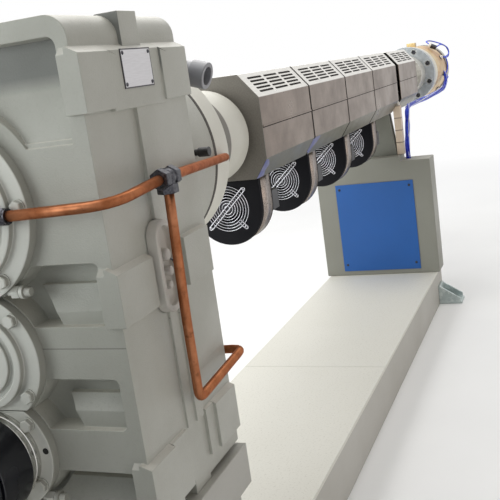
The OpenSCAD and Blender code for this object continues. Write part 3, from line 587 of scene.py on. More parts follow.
LATHE = (1.0, 0.2, 0.2)
BACKWARD = (-1, 0, 0)
FORWARD = (1, 0, 0)
bright_steel = turned_steel("bright_steel", rgb(218, 217, 213), rgb(186, 185, 181), 0.22, across=(1.0, 0.15, 0.15))
ring_over_hub = [(0.0, 0.0724), (0.0, 0.0739), (0.0105, 0.0739), (0.0115, 0.0729), (0.0130, 0.0729),
                 (0.0140, 0.0739), (0.0221, 0.0739), (0.0261, 0.0705), (0.0261, 0.063), (0.0296, 0.060),
                 (0.0336, 0.056), (0.0336, 0.0308), (0.0141, 0.0308), (0.0141, 0.0724)]
revolved("turned_ring", ring_over_hub, [(at(COVER_FACE - 0.1, 0, MOTOR_AXIS), BACKWARD)], bright_steel)

# Screw plugs of the shaft housings: forged steel, painted over. Each points to the side from
# under a cover's rim, with a hexagon, a collar and a threaded end. The input cover also has
# two empty threaded holes for its puller screws, drawn as thin dark discs of painted shade.
plug_feet = [(at(-7, side * y, z), (0, side, 0)) for y, z in ((70, 878), (58, 541)) for side in (-1, 1)]
collar_end = 0.0305
thread = [(collar_end + 0.0015 * i, 0.0075 if i % 2 else 0.0065) for i in range(7)]
plug_body = [(0.0, 0.0), (0.0, 0.0055), (0.024, 0.0055), (0.024, 0.0105), (0.030, 0.0105), *thread,
             (0.0405, 0.006), (0.0405, 0.0)]
plug_hexagon = [(0.008, 0.005), (0.008, 0.0095), (0.009, 0.0105), (0.0215, 0.0105), (0.0225, 0.0095), (0.0225, 0.005)]
revolved("plug_bodies", plug_body, plug_feet, cover_look, sides=32)
revolved("plug_hexagons", plug_hexagon, plug_feet, cover_look, sides=6)


def dull_dark(name, first, second, scale, detail=2.0, rough=0.7):
    """Painted shade or moulded plastic: two dark tones in soft patches."""
    made, tree, surface, spot = new_material(name)
    fill(tree, surface, Base_Color=blend(tree, noise(tree, spot, scale, detail), first, second), Roughness=rough)
    return made, surface


painted_hole_shade, surface = dull_dark("hole_shadow", rgb(12, 12, 12), rgb(44, 42, 40), 240.0)
# painted shade: thin dark discs stand in for the puller holes
revolved("puller_hole_shade", [(0.0, 0.0), (0.0, 0.0052), (0.0004, 0.0052), (0.0004, 0.0)],
         [(place, BACKWARD) for place in on_circle(COVER_FACE, MOTOR_AXIS, 86, [6, 174])], painted_hole_shade,
         sides=24)

# The drive motor, its cowl, terminal box and stand: cast ribbed housing and pressed sheet,
# sprayed a darker grey. It stands behind the onlooker. Four screws hold its feet, and rings of
# narrow vents open in the cowl's rear, drawn as thin dark rings of painted shade.
motor_look = enamel("motor_enamel", rgb(128, 136, 142), depth=0.2, size=4.0, specks=0.25)
dress("drive_motor", motor_look)
softened("motor_fan_cowl", 0.003, motor_look)
softened("motor_terminal_box", 0.003, motor_look)
dress("motor_stand", enamel("stand_enamel", SEAT_GREY, depth=0.25, dust_and_top_light=0.12))
foot_screws = [at(x, y, 360) for x in (-800, -480) for y in (-226, 226)]
screws("motor_foot_screws", foot_screws, UPRIGHT, 0.013, 0.011, bright_steel)
cowl_middle = Vector((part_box("motor_fan_cowl")[0].x, 0, MOTOR_AXIS / 1000))
vent_width, vent_step = 0.009, 0.024
for number in range(1, 7):
    inner = 0.028 + vent_step * number
    outer = inner + vent_width
    # painted shade: thin dark rings stand in for the vent openings
    revolved(f"cowl_vent_shade_{number}", [(0.0, inner), (0.0, outer), (0.0005, outer), (0.0005, inner)],
             [(cowl_middle, BACKWARD)], painted_hole_shade)

# The plate on the top pad: thin bare aluminium held by four drive screws, with its edge
# printed dark.
plate_look, tree, surface, spot = new_material("bare_plate")
plate_low, plate_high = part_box("label_plate")
plate_middle = (plate_low + plate_high) / 2


def from_middle(axis):
    """How far a point lies from the plate's middle along X (0) or Z (2), where 1 is its edge."""
    away = ramp(tree, axis_of(tree, spot, axis), plate_middle[axis], plate_high[axis], clamp=False)
    return figure(tree, "ABSOLUTE", away)


edge = figure(tree, "MAXIMUM", ramp(tree, from_middle(0), 0.95, 0.965), ramp(tree, from_middle(2), 0.925, 0.945))
grain = noise(tree, stretched(tree, spot, (0.1, 1.0, 1.0)), 500.0)
metal = blend(tree, grain, rgb(226, 226, 230), rgb(206, 205, 208))
fill(tree, surface, Base_Color=blend(tree, edge, metal, rgb(60, 58, 62)), Metallic=0.25, Roughness=0.42)
dress("label_plate", plate_look)


def domes_tree():
    """Small domed heads on every point of a mesh."""
    tree, given, result = new_tree("domed_heads", Radius=("Float", None), Flatten=("Vector", None))
    dome = put(tree, "GeometryNodeMeshUVSphere", Segments=14, Rings=8, Radius=given["Radius"]).outputs["Mesh"]
    placed = set_on(tree, given["Geometry"], dome, Scale=given["Flatten"])
    return solid_end(tree, placed, given, result, smooth=True)


def corners_of(low, high, along, across, lower, upper):
    """Four places near a plate's corners: insets along X or Y, then at its lower and upper edge."""
    made = []
    for first in (low[along] + across, high[along] - across):
        for z in (low.z + lower, high.z - upper):
            place = low.copy()
            place[along], place.z = first, z
            made.append(place)
    return made


DOMES = domes_tree()
dark_steel = turned_steel("dark_steel", rgb(96, 96, 100), rgb(48, 48, 54), 0.36)
mounted(grown(DOMES, "plate_rivets", corners_of(plate_low, plate_high, 0, 0.006, 0.006, 0.006), Radius=0.0032,
              Flatten=(1.0, 0.5, 1.0), Material=dark_steel))

# The oil gauge: a long oval iron casting, painted with the casing, with a thick raised rim and
# two round bosses in its middle. A bent wire links the bosses.


def cable_tree():
    """Round cables: every chain of edges in a mesh becomes one smoothly bent cable."""
    tree, given, result = new_tree("round_cables", Radius=("Float", 0.003), Steps=("Int", 6), Sides=("Int", 10))
    chain = put(tree, "GeometryNodeMeshToCurve", Mesh=given["Geometry"]).outputs[0]
    bent = put(tree, "GeometryNodeCurveSplineType", {"spline_type": "CATMULL_ROM"}, Curve=chain).outputs[0]
    fine = put(tree, "GeometryNodeSetSplineResolution", Geometry=bent, Resolution=given["Steps"]).outputs[0]
    section = put(tree, "GeometryNodeCurvePrimitiveCircle", {"mode": "RADIUS"}, Resolution=given["Sides"],
                  Radius=given["Radius"]).outputs[0]
    tube = put(tree, "GeometryNodeCurveToMesh", Curve=fine, Profile_Curve=section, Fill_Caps=True)
    return solid_end(tree, tube.outputs[0], given, result, smooth=True)


CABLES = cable_tree()


def cables(name, routes, radius, material):
    """Cables along routes given as lists of places, riding with the machine."""
    corners, edges = [], []
    for route in routes:
        first = len(corners)
        corners += [at(*place) for place in route]
        edges += [(first + i, first + i + 1) for i in range(len(route) - 1)]
    return mounted(grown(CABLES, name, corners, edges, Radius=radius, Material=material))


softened("oil_gauge", 0.003, enamel("gauge_enamel", rgb(198, 195, 188), depth=0.15, size=9.0, specks=0.15, dust_and_top_light=0.1),
         steps=3)
link = [(138, -266, 884), (145, -271, 877), (149, -271, 858), (152, -270, 842), (157, -268, 829)]
cables("gauge_link", [link], 0.0016, dark_steel)

# Oil pipes: soft copper tube bent by hand, brown with handling, in black steel union nuts. The
# rear pipe enters an elbow beside the output cover, and a tee feeds the other two.
copper, tree, surface, spot = new_material("worn_copper")
tarnish = noise(tree, spot, 26.0, 5.0, 0.6)
rubbed = ramp(tree, noise(tree, spot, 90.0, 3.0), 0.58, 0.7, 0.0, 0.5)
tone = blend(tree, ramp(tree, tarnish, 0.32, 0.68), rgb(180, 120, 86), rgb(132, 78, 48))
fill(tree, surface, Base_Color=blend(tree, rubbed, tone, rgb(98, 60, 42)), Metallic=0.68,
     Specular_Tint=rgb(208, 150, 112), Roughness=ramp(tree, tarnish, 0.3, 0.7, 0.28, 0.5))
for pipe in ("oil_pipe_rear", "oil_pipe_thrust", "oil_pipe_drop"):
    stand_in(pipe, *merged_copy(pipe), copper)
softened("pipe_tee", 0.0012, dark_steel)

pipe_r, nut_r, elbow_r = 0.0082, 0.0138, 0.012
union_foot = [(at(-36, -97, 997), (0, -1, 0))]
elbow_foot = [(at(-28, -91, 997), BACKWARD)]
union_nut = [(0.0, pipe_r), (0.0, 0.0125), (0.0012, nut_r), (0.018, nut_r), (0.0195, 0.0125), (0.0195, pipe_r)]
union_ring = [(0.0195, pipe_r), (0.0195, 0.0118), (0.0225, 0.0118), (0.0225, pipe_r)]
elbow = [(-0.014, 0.0), (-0.014, 0.0105), (-0.012, elbow_r), (0.0, elbow_r), (0.0, 0.0)]
elbow_end = [(0.0, 0.0), (0.0, elbow_r), (0.012, elbow_r), (0.014, 0.0105), (0.014, 0.0)]
revolved("rear_union_nut", union_nut, union_foot, dark_steel, sides=6)
revolved("rear_union_ring", union_ring, union_foot, dark_steel, sides=32)
revolved("rear_elbow", elbow, union_foot, dark_steel, sides=32)
revolved("rear_elbow_foot", elbow_end, elbow_foot, dark_steel, sides=32)

# The breather plug is turned from black plastic and screwed into the thrust boss; the open
# elbow above it is moulded from grey plastic.
black_plastic, surface = dull_dark("black_plastic", rgb(22, 22, 24), rgb(46, 44, 44), 160.0, rough=0.5)
softened("breather_plug", 0.001, black_plastic)
softened("vent_elbow", 0.0015, enamel("grey_moulding", rgb(136, 137, 142), depth=0.15, size=20.0, specks=0.15,
                                      dust_and_top_light=0.1, low=0.3, high=0.42, peel=0.4))

# Thrust flange and feed drum: rough castings filled and sprayed in a lighter grey, with the
# drum's front rim turned round. The drum's neck behind it is darkened with painted shade, a dark ring
# of painted shade fills the thrust groove, and eight screws pull the flange on.


def drum_enamel(name):
    """The drum's lighter coat over rough casting."""
    return enamel(name, rgb(216, 215, 205), depth=0.22, size=7.0, specks=0.2, dust_and_top_light=0.15, low=0.34, high=0.52,
                  bump=0.3, reach=0.001)


softened("thrust_flange", 0.002, drum_enamel("drum_enamel"), steps=3)
drum_look = drum_enamel("drum_enamel_with_painted_neck_shade")
tree, surface, painted = repainted(drum_look)
neck_from, neck_to = at(811, 0, 0).x, at(814, 0, 0).x
# painted shade: the drum's neck before the 811 mm station, behind its rim, is darkened
neck_shade = ramp(tree, axis_of(tree, places(tree), "X"), neck_from, neck_to, 0.92, 0.0)
fill(tree, surface, Base_Color=blend(tree, neck_shade, painted, rgb(96, 91, 84)))
softened("feed_section", 0.002, drum_look, steps=3)

# painted shade: a dark ring set in the thrust groove, where shade falls
groove_shade_look, surface = dull_dark("groove_shade", rgb(46, 43, 40), rgb(84, 78, 72), 90.0, 3.0)
groove_shade_profile = [(0.0, 0.2026), (0.0, 0.2036), (0.0095, 0.2036), (0.012, 0.2015), (0.012, 0.1990), (0.0095, 0.1990),
        (0.0095, 0.2026)]
revolved("thrust_groove_shade", groove_shade_profile, [(at(514.5, 0, SCREW_AXIS), FORWARD)], groove_shade_look, sides=128)
screws("thrust_screws", on_circle(600, SCREW_AXIS, 170, [22.5 + 45 * i for i in range(8)]), TO_FRONT, 0.012,
       0.011, dark_steel, washer=1.15)

# Barrel with its end ring, flange and support: turned steel under a film of oil, and sprayed
# enamel on the support. The flange's eight screw heads sit in bright counterbores.
softened("barrel", 0.0015, turned_steel("oiled_steel", rgb(222, 220, 212), rgb(188, 185, 176), 0.36, 0.6, LATHE))
softened("barrel_flange", 0.002, turned_steel("flange_steel", rgb(178, 183, 186), rgb(158, 163, 166), 0.34, 0.5, LATHE))
softened("barrel_support", 0.002, enamel("support_enamel", rgb(138, 139, 130), depth=0.2, size=6.0))
dress("screw", bright_steel)
flange_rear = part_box("barrel_flange")[0].x
flange_pitch, head_depth = 0.128, 0.0158
bores = []
for i in range(8):
    angle = math.radians(45 * i + 22)
    bores.append(Vector((flange_rear, flange_pitch * math.cos(angle),
                         SCREW_AXIS / 1000 + flange_pitch * math.sin(angle))))
socket_head = [(0.0, 0.0), (0.0, 0.0108), (0.008, 0.0108), (0.009, 0.0098), (0.009, 0.005), (0.003, 0.005), (0.003, 0.0)]
bore_rim = [(0.0, 0.0121), (0.0, 0.0152), (0.0005, 0.0148), (0.0005, 0.0125)]
revolved("flange_screws", socket_head, [(place + Vector((head_depth, 0, 0)), BACKWARD) for place in bores],
         dark_steel, sides=24)
revolved("flange_bore_rims", bore_rim, [(place, BACKWARD) for place in bores], bright_steel, sides=32)

# Zone covers: folded stainless sheet with a brushed face, an upper half that rests on the
# lower one with a folded hem, and strips of painted shade in the joints between the zones. The
# sheet's colour is painted reflection: greener on the lower slopes, warm on the sides, white on the shoulders.
FOLD_LOW, FOLD_HIGH = 0.930, 1.082
steel_sheet, tree, surface, spot = new_material("brushed_stainless_painted_reflection")
brushed = noise(tree, stretched(tree, spot, (0.02, 1.0, 1.0)), 700.0)
smear = noise(tree, spot, 7.0, 5.0, 0.6)
height = axis_of(tree, spot, "Z")
# painted reflection: the colour changes by height, greener below the lower fold, warm brown between, white above the
# upper fold
side = blend(tree, ramp(tree, smear, 0.42, 0.68, 0.0, 0.8), rgb(127, 111, 98), rgb(99, 86, 77))
lower = blend(tree, ramp(tree, height, FOLD_LOW - 0.001, FOLD_LOW + 0.001), rgb(120, 118, 104), side)
tone = blend(tree, ramp(tree, height, FOLD_HIGH - 0.001, FOLD_HIGH + 0.001), lower, rgb(232, 230, 224))
relief = put(tree, "ShaderNodeBump", Strength=0.1, Distance=0.0002, Height=brushed)
fill(tree, surface, Base_Color=blend(tree, ramp(tree, brushed, 0.3, 0.7, 0.0, 0.22), tone, rgb(96, 90, 84)),
     Roughness=ramp(tree, smear, 0.3, 0.7, 0.26, 0.42), Metallic=0.7, Normal=relief.outputs[0])
covers = [f"zone_cover_{number}" for number in range(1, 6)]
for cover in covers:
    softened(cover, 0.0012, steel_sheet)
dress("cover_end_plates", turned_steel("end_plate_steel", rgb(128, 124, 117), rgb(114, 110, 103), 0.45, 0.4))
# painted shade: one dark material for the strips in the cover joints and seam gaps, and for the slots
painted_opening_shade, surface = dull_dark("slot_shadow", rgb(14, 12, 11), rgb(40, 36, 32), 60.0, rough=0.8)
surface.inputs["Specular IOR Level"].default_value = 0.1


def sheet_strips(name, bands, out, material):
    """Thin strips that lie on the covers. Each is given by its two stations and a run of the sheet's outline."""
    corners, faces = [], []
    for x0, x1, run in bands:
        first = len(corners)
        for y, z in run:
            reach = math.hypot(y, z)
            for x, lift in ((x0, 0.0), (x1, 0.0), (x1, out), (x0, out)):
                corners.append(at(x, y * (1 + lift / reach), SCREW_AXIS + z * (1 + lift / reach)))
        last = first + 4 * (len(run) - 1)
        for a in range(first, last, 4):
            faces += [(a + j, a + (j + 1) % 4, a + 4 + (j + 1) % 4, a + 4 + j) for j in range(4)]
        faces += [(first + 3, first + 2, first + 1, first), (last, last + 1, last + 2, last + 3)]
    made = shaped(name, corners, faces, material)
    outward(made)
    mounted(made)


half_outline = [(95, 143), (145, 82), (145, -70), (110, -120)]
outline = half_outline + [(-y, z) for y, z in reversed(half_outline)]
zone_runs = ((960, 1382), (1390, 1809), (1815, 2235.5), (2240.5, 2700), (2768, 3203))
seams = [(x0, x1, side * 145) for x0, x1 in zone_runs for side in (-1, 1)]
# painted shade: dark strips in the joints between zones and in the lengthwise gaps under the hems
sheet_strips("cover_joint_shade", [(before[1], after[0], outline) for before, after in zip(zone_runs[:3], zone_runs[1:])],
             0.8, painted_opening_shade)
sheet_strips("cover_hems", [(x0 + 1, x1 - 1, [(y, 8.2), (y, 12)]) for x0, x1, y in seams], 1.5, steel_sheet)
sheet_strips("cover_gap_shade", [(x0, x1, [(y, 5.8), (y, 8.2)]) for x0, x1, y in seams], 0.6, painted_opening_shade)

# Scraps of the blue film that protects new sheet, torn off by hand and left on the lower slope
# of two covers.
film_look, tree, surface, spot = new_material("blue_film")
torn = ramp(tree, noise(tree, spot, 45.0, 4.0), 0.35, 0.7)
fill(tree, surface, Base_Color=blend(tree, torn, rgb(92, 98, 158), rgb(132, 130, 160)), Roughness=0.32)


def thickened(made, thickness):
    """Gives a sheet its thickness, half to each side."""
    sheet = made.modifiers.new("sheet", "SOLIDIFY")
    sheet.thickness = thickness
    sheet.offset = 0.0
    return made


def film(name, outline):
    """A scrap on the near slope, outlined by stations and shares of the way down the slope."""
    corners = [at(x, -145.5 + 35 * share, 929.5 - 50 * share) for x, share in outline]
    made = shaped(name, corners, [tuple(range(len(corners)))], film_look)
    made.data.flip_normals()
    mounted(thickened(made, 0.0003))


film("film_scrap_rear", [(957.5, 0.04), (982, 0.1), (1004, 0.38), (997, 0.7), (1008, 0.98), (957.5, 0.98)])
film("film_scrap_joint", [(1374, 0.1), (1399, 0.0), (1452, 0.03), (1438, 0.42), (1416, 0.6), (1404, 0.95), (1376, 0.8)])

# Slots in the covers' shoulders: punched in columns of five, three columns to a cover, so that
# warm air leaves the heaters. Each slot is drawn as a thin dark piece of painted shade.


def slot_tree():
    """Groups of parallel slots: on every point of a mesh, a column of round-ended slots drawn as thin dark pieces of
    painted shade.
    """
    tree, given, result = new_tree(
        "slot_groups", Rows=("Int", 5), Row_Pitch=("Float", 0.0115), Slot_Length=("Float", 0.096),
        Slot_Width=("Float", 0.006), Slot_Depth=("Float", 0.0006), Turn=("Vector", None))
    length, width, depth = given["Slot Length"], given["Slot Width"], given["Slot Depth"]
    bar = put(tree, "GeometryNodeMeshCube", Size=vector(tree, length, width, depth)).outputs["Mesh"]
    end = put(tree, "GeometryNodeMeshCylinder", Vertices=12, Radius=figure(tree, "MULTIPLY", width, 0.5),
              Depth=depth).outputs["Mesh"]
    ends = [moved(tree, end, Translation=vector(tree, x=figure(tree, "MULTIPLY", length, share)))
            for share in (0.5, -0.5)]
    start = vector(tree, y=figure(tree, "MULTIPLY", given["Row Pitch"], -2.0))
    rows = put(tree, "GeometryNodeMeshLine", {"mode": "OFFSET"}, Count=given["Rows"], Start_Location=start,
               Offset=vector(tree, y=given["Row Pitch"])).outputs[0]
    column = set_on(tree, rows, joined(tree, bar, *ends))
    return solid_end(tree, set_on(tree, given["Geometry"], column, Rotation=given["Turn"]), given, result)


SLOTS = slot_tree()
shoulder_slope = math.atan2(61, 50)
for side, word in ((-1, "near"), (1, "far")):
    middles = []
    for cover in covers:
        low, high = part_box(cover)
        middles += [Vector((low.x + share * (high.x - low.x), side * 0.120, high.z - 0.0305))
                    for share in (0.215, 0.5, 0.785)]
    mounted(grown(SLOTS, "cover_slot_shade_" + word, middles, Turn=(-side * shoulder_slope, 0.0, 0.0),
                  Material=painted_opening_shade))

# Blowers: pressed steel scroll housings with black side plates and a bare sheet band bent
# round them.
fan_black = enamel("fan_enamel", rgb(18, 18, 24), depth=0.3, size=8.0, specks=0.2, dust_and_top_light=0.0, low=0.34, high=0.5,
                   peel=0.6, shine=0.16)
band_look = turned_steel("band_sheet", rgb(172, 162, 154), rgb(116, 105, 98), 0.3, 0.9)
fans = ["fan_1", "fan_2", "fan_3", "fan_4"]
inside_rim, plate_edge, under_cover = 0.0015, 0.0085, 0.001
intakes = []
for number, fan in enumerate(fans, 1):
    softened(fan, 0.001, fan_black)
for number, fan in enumerate(fans, 1):
    low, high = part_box(fan)
    radius = (high.y - low.y) / 2
    intake = Vector((low.x, 0, low.z + radius))
    intakes.append(intake)
    wall = radius - inside_rim
    top = high.z - under_cover
    round_bottom = [(wall * math.cos(math.radians(a)), intake.z + wall * math.sin(math.radians(a)))
                    for a in range(0, -181, -6)]
    band_outline = [(wall, top), *round_bottom, (-wall, top)]
    corners = [(x, y, z) for y, z in band_outline for x in (low.x + plate_edge, high.x - plate_edge)]
    faces = [(2 * i, 2 * i + 1, 2 * i + 3, 2 * i + 2) for i in range(len(band_outline) - 1)]
    band = shaped(f"fan_band_{number}", corners, faces, band_look)
    for face in band.data.polygons:
        face.use_smooth = True
    mounted(thickened(band, 0.0012))

# Finger guards over the blowers' intakes: rings of bent wire, welded to a pair of heavier wires
# across and to two short clips, all chromed.
chrome, tree, surface, spot = new_material("chromed_wire")
fill(tree, surface, Base_Color=blend(tree, noise(tree, spot, 60.0), rgb(226, 226, 232), rgb(198, 198, 206)),
     Metallic=0.9, Roughness=0.22)
PAIR_GAP, CLIP_GAP, WIRE_LIFT = 0.0048, 0.004, 0.0022
PAIR_EYE, CLIP_EYE = 0.0035, 0.004
CLIP_FROM, CLIP_TO = 0.046, 0.071
GUARD_TURN = math.radians(-47)


def guard_tree():
    """Finger guards: on every point, rings of wire, a pair of long wires across and two short clips."""
    tree, given, result = new_tree(
        "wire_guards", Rings=("Int", 8), Ring_Step=("Float", 0.0075), Wire_Radius=("Float", 0.0013),
        Heavier=("Float", 1.45), Reach=("Float", 0.074))

    def ring(radius, sides):
        return put(tree, "GeometryNodeCurvePrimitiveCircle", {"mode": "RADIUS"}, Resolution=sides,
                   Radius=radius).outputs[0]

    def wire(start, end):
        return put(tree, "GeometryNodeCurvePrimitiveLine", Start=start, End=end).outputs[0]

    def tube(curve, section):
        return put(tree, "GeometryNodeCurveToMesh", Curve=curve, Profile_Curve=section).outputs[0]

    centres = put(tree, "GeometryNodeMeshLine", {"mode": "OFFSET"}, Count=given["Rings"],
                  Offset=(0.0, 0.0, 0.0)).outputs[0]
    number = figure(tree, "ADD", put(tree, "GeometryNodeInputIndex").outputs[0], 1.0)
    rings = set_on(tree, centres, ring(given["Ring Step"], 56), Scale=vector(tree, number, number, 1.0))
    rings = put(tree, "GeometryNodeRealizeInstances", Geometry=rings).outputs[0]
    reach = given["Reach"]
    back = figure(tree, "MULTIPLY", reach, -1.0)
    wires = [wire(vector(tree, back, gap, WIRE_LIFT), vector(tree, reach, gap, WIRE_LIFT))
             for gap in (-PAIR_GAP, PAIR_GAP)]
    wires += [moved(tree, ring(PAIR_EYE, 16), Translation=vector(tree, end, 0.0, WIRE_LIFT)) for end in (reach, back)]
    for side in (1.0, -1.0):
        wires += [wire((gap, side * CLIP_FROM, WIRE_LIFT), (gap, side * CLIP_TO, WIRE_LIFT))
                  for gap in (-CLIP_GAP, CLIP_GAP)]
        wires.append(moved(tree, ring(CLIP_EYE, 16), Translation=(0.0, side * CLIP_TO, WIRE_LIFT)))
    section = ring(given["Wire Radius"], 6)
    thicker = given["Heavier"]
    heavy = moved(tree, section, Scale=vector(tree, thicker, thicker, thicker))
    guard = joined(tree, tube(rings, section), tube(joined(tree, *wires), heavy))
    tilted = moved(tree, guard, Rotation=(0.0, 0.0, GUARD_TURN))
    placed = set_on(tree, given["Geometry"], tilted, Rotation=TO_REAR)
    return solid_end(tree, placed, given, result, smooth=True)


ahead_of_plate = Vector((0.0012, 0, 0))
guards = grown(guard_tree(), "wire_guards", [intake - ahead_of_plate for intake in intakes], Material=chrome)
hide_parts("fan_guards")
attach(guards, "root")

# Blower wheels and motors: a cage of thirty curved blades on a hub behind each guard, pressed
# from sheet, and a small ribbed motor on the housing's front side.


def wheel_tree():
    """Blower wheels: on every point, a ring of leaning blades and a hub."""
    tree, given, result = new_tree(
        "blower_wheels", Blades=("Int", 30), Blade_Radius=("Float", 0.048), Depth=("Float", 0.05),
        Blade_Width=("Float", 0.011), Blade_Thickness=("Float", 0.0012), Hub_Radius=("Float", 0.022),
        Lean=("Float", 0.7))
    depth = given["Depth"]
    circle = put(tree, "GeometryNodeMeshCircle", Vertices=given["Blades"], Radius=given["Blade Radius"]).outputs[0]
    blade_size = vector(tree, given["Blade Width"], given["Blade Thickness"], depth)
    blade = put(tree, "GeometryNodeMeshCube", Size=blade_size).outputs["Mesh"]
    spoke = put(tree, "GeometryNodeInputPosition").outputs[0]
    aim = put(tree, "FunctionNodeAlignRotationToVector", {"axis": "X"}, Vector=spoke).outputs[0]
    blades = put(tree, "GeometryNodeRotateInstances", Instances=set_on(tree, circle, blade, Rotation=aim),
                 Rotation=vector(tree, z=given["Lean"])).outputs[0]
    hub = put(tree, "GeometryNodeMeshCylinder", Vertices=32, Radius=given["Hub Radius"], Depth=depth).outputs["Mesh"]
    placed = set_on(tree, given["Geometry"], joined(tree, blades, hub), Rotation=TO_FRONT)
    return solid_end(tree, placed, given, result)


wheel_look = enamel("wheel_enamel", rgb(58, 58, 66), depth=0.3, size=30.0, specks=0.2, dust_and_top_light=0.0, low=0.3, high=0.45)
into_housing = Vector((0.034, 0, 0))
mounted(grown(wheel_tree(), "blower_wheels", [intake + into_housing for intake in intakes], Material=wheel_look))
softened("fan_motors", 0.0015, enamel("fan_motor_enamel", rgb(46, 47, 52), depth=0.3, size=12.0, dust_and_top_light=0.1))

# Pedestal and panel: folded sheet steel in the machine's grey, with a blue panel on its rear
# held by four black screws.
softened("pedestal", 0.004, enamel("pedestal_enamel", rgb(144, 144, 135), depth=0.2, specks=0.2, dust_and_top_light=0.3))
softened("pedestal_panel", 0.001, enamel("blue_enamel", rgb(18, 93, 174), depth=0.25, specks=0.1, dust_and_top_light=0.05,
                                         low=0.3, high=0.42, peel=0.6))
panel_low, panel_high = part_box("pedestal_panel")
mounted(grown(DOMES, "panel_screws", corners_of(panel_low, panel_high, 1, 0.018, 0.03, 0.022), Radius=0.006,
              Flatten=(0.45, 1.0, 1.0), Material=black_plastic))

# Adapter and its heaters: turned steel under two clamped band heaters. The rear one has a pale
# sheath, the front one a brass sheath browned by heat, with white ceramic terminals on it and
# a clamp that pulls it tight.
softened("die_adapter", 0.002, turned_steel("adapter_steel", rgb(190, 187, 180), rgb(146, 142, 136), 0.38, across=LATHE))
heater_look, tree, surface, spot = new_material("heater_sheath")
scorch = noise(tree, spot, 8.0, 5.0)
brass = blend(tree, ramp(tree, scorch, 0.35, 0.65), rgb(214, 192, 138), rgb(186, 146, 104))
rim = ramp(tree, axis_of(tree, spot, "X"), at(4205, 0, 0).x, at(4225, 0, 0).x)
fill(tree, surface, Base_Color=blend(tree, rim, brass, rgb(120, 84, 58)), Metallic=0.55,
     Roughness=ramp(tree, scorch, 0.3, 0.7, 0.34, 0.5))
softened("adapter_heater", 0.002, heater_look)

pale_sheath = turned_steel("pale_sheath", rgb(226, 222, 206), rgb(196, 190, 174), 0.4, 0.35, LATHE)
ceramic = enamel("white_ceramic", rgb(236, 232, 222), depth=0.15, size=60.0, specks=0.1, dust_and_top_light=0.0, low=0.22,
                 high=0.35, peel=0.2)
adapter_r, band_r, band_length = 0.1188, 0.1475, 0.112
rear_band = [(0.0, adapter_r), (0.0, band_r - 0.002), (0.002, band_r), (band_length - 0.002, band_r),
             (band_length, band_r - 0.002), (band_length, adapter_r)]
revolved("rear_band_heater", rear_band, [(at(3786, 0, SCREW_AXIS), FORWARD)], pale_sheath)
terminal_feet = []
for turn in (154, 192, 228):
    out = Vector((0, math.cos(math.radians(turn)), math.sin(math.radians(turn))))
    terminal_feet.append((at(4130, 0, SCREW_AXIS) + out * 0.1478, out))
terminal_seat = [(0.0, 0.0), (0.0, 0.013), (0.003, 0.013), (0.004, 0.012), (0.004, 0.0)]
terminal_cap = [(0.004, 0.0), (0.004, 0.0095), (0.013, 0.0085), (0.013, 0.007), (0.017, 0.0065), (0.018, 0.0055),
                (0.018, 0.0)]
revolved("terminal_seats", terminal_seat, terminal_feet, dark_steel, sides=24)
revolved("terminal_ceramics", terminal_cap, terminal_feet, ceramic, sides=24)
clamp_foot = [(at(4096, -88, 1141), (0.2, -0.75, -0.4))]
clamp_r = 0.014
revolved("clamp_barrel", [(0.0, 0.0), (0.0, clamp_r), (0.034, clamp_r), (0.034, 0.0)], clamp_foot, dark_steel,
         sides=6)
revolved("clamp_cap", [(-0.012, 0.0), (-0.012, 0.012), (-0.010, clamp_r), (0.0, clamp_r), (0.0, 0.0)], clamp_foot,
         ceramic, sides=24)

# The wiring trunk: lengths of beige moulded plastic pushed together beside the neck, with a fine
# dark line at each joint and a white cap on top.
trunk_look = enamel("trunk_plastic", rgb(246, 226, 204), depth=0.1, size=10.0, specks=0.1, dust_and_top_light=0.0, low=0.4,
                    high=0.5, peel=0.3)
tree, surface, painted = repainted(trunk_look)
trunk_foot, trunk_pitch = 0.690, 0.054
count = ramp(tree, axis_of(tree, places(tree), "Z"), trunk_foot, trunk_foot + trunk_pitch, clamp=False)
off_joint = figure(tree, "PINGPONG", count, 0.5)
fill(tree, surface, Base_Color=blend(tree, ramp(tree, off_joint, 0.02, 0.05, 0.75, 0.0), painted, rgb(120, 92, 72)))
softened("wire_trunk", 0.001, trunk_look)
revolved("trunk_cap", [(0.0, 0.0), (0.0, 0.009), (0.014, 0.009), (0.019, 0.006), (0.020, 0.0)],
         [(at(2724, -133, 905), (0, 0, 1))], ceramic, sides=24)

# The heaters' wires: blue and pale insulated strands wound loosely into one bundle that hangs
# under the barrel and drops into the pedestal, and single wires between the ceramic terminals.


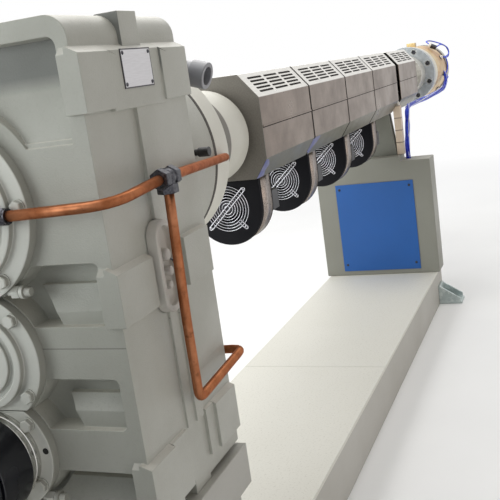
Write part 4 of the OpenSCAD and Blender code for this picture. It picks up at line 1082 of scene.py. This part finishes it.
def insulation(name, first, second):
    """Flexible insulation in one colour, rubbed a little lighter in places."""
    made, tree, surface, spot = new_material(name)
    rubbed = ramp(tree, noise(tree, spot, 38.0, 3.0), 0.4, 0.65)
    fill(tree, surface, Base_Color=blend(tree, rubbed, first, second), Roughness=0.4)
    return made


blue_wire = insulation("blue_insulation", rgb(26, 48, 196), rgb(66, 92, 224))
pale_wire = insulation("pale_insulation", rgb(206, 214, 240), rgb(232, 236, 246))
run = [(4125, -151, 978), (4100, -160, 934), (4000, -161, 902), (3900, -161, 892), (3700, -160, 888),
       (3363, -160, 887), (3103, -160, 891), (2860, -162, 894), (2780, -166, 890), (2736, -170, 872),
       (2720, -168, 810), (2714, -162, 740), (2712, -160, 669)]
LAST_LEVEL_POINT = 9


def strand(number, spread):
    """One wire of the bundle, wound slowly round the bundle's middle."""
    route = []
    for i, (x, y, z) in enumerate(run):
        angle = math.radians(60 * number + 47 * i)
        first, second = spread * math.cos(angle), spread * math.sin(angle)
        route.append((x + first, y + second, z) if i > LAST_LEVEL_POINT else (x, y + first, z + second))
    return route


outer_strands = [strand(n, 8.4) for n in (0, 1.1, 2.9, 3.8, 5)]
inner_strands = [strand(n, 2.6) for n in (0.5, 3.5)]
bundle = cables("blue_wires", outer_strands + inner_strands, 0.0025, blue_wire)
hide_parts("heater_wires")
cables("pale_wires", [strand(2, 8.6), strand(4.4, 8.9)], 0.0020, pale_wire)
links = [[(4130, -152, 1068), (4150, -163, 1058), (4162, -168, 1020), (4150, -164, 985), (4128, -156, 972)],
         [(4130, -160, 964), (4118, -170, 948), (4098, -164, 936)],
         [(4130, -110, 874), (4100, -132, 872), (4060, -152, 884), (4010, -160, 898)],
         [(4100, -118, 1128), (4160, -140, 1140), (4215, -166, 1118), (4228, -172, 1086), (4180, -166, 1070),
          (4134, -152, 1066)],
         [(4092, -84, 1150), (4130, -60, 1168), (4180, -86, 1166), (4222, -150, 1132), (4236, -170, 1092),
          (4200, -168, 1064), (4136, -154, 1064)]]
cables("terminal_wires", links, 0.0034, blue_wire)
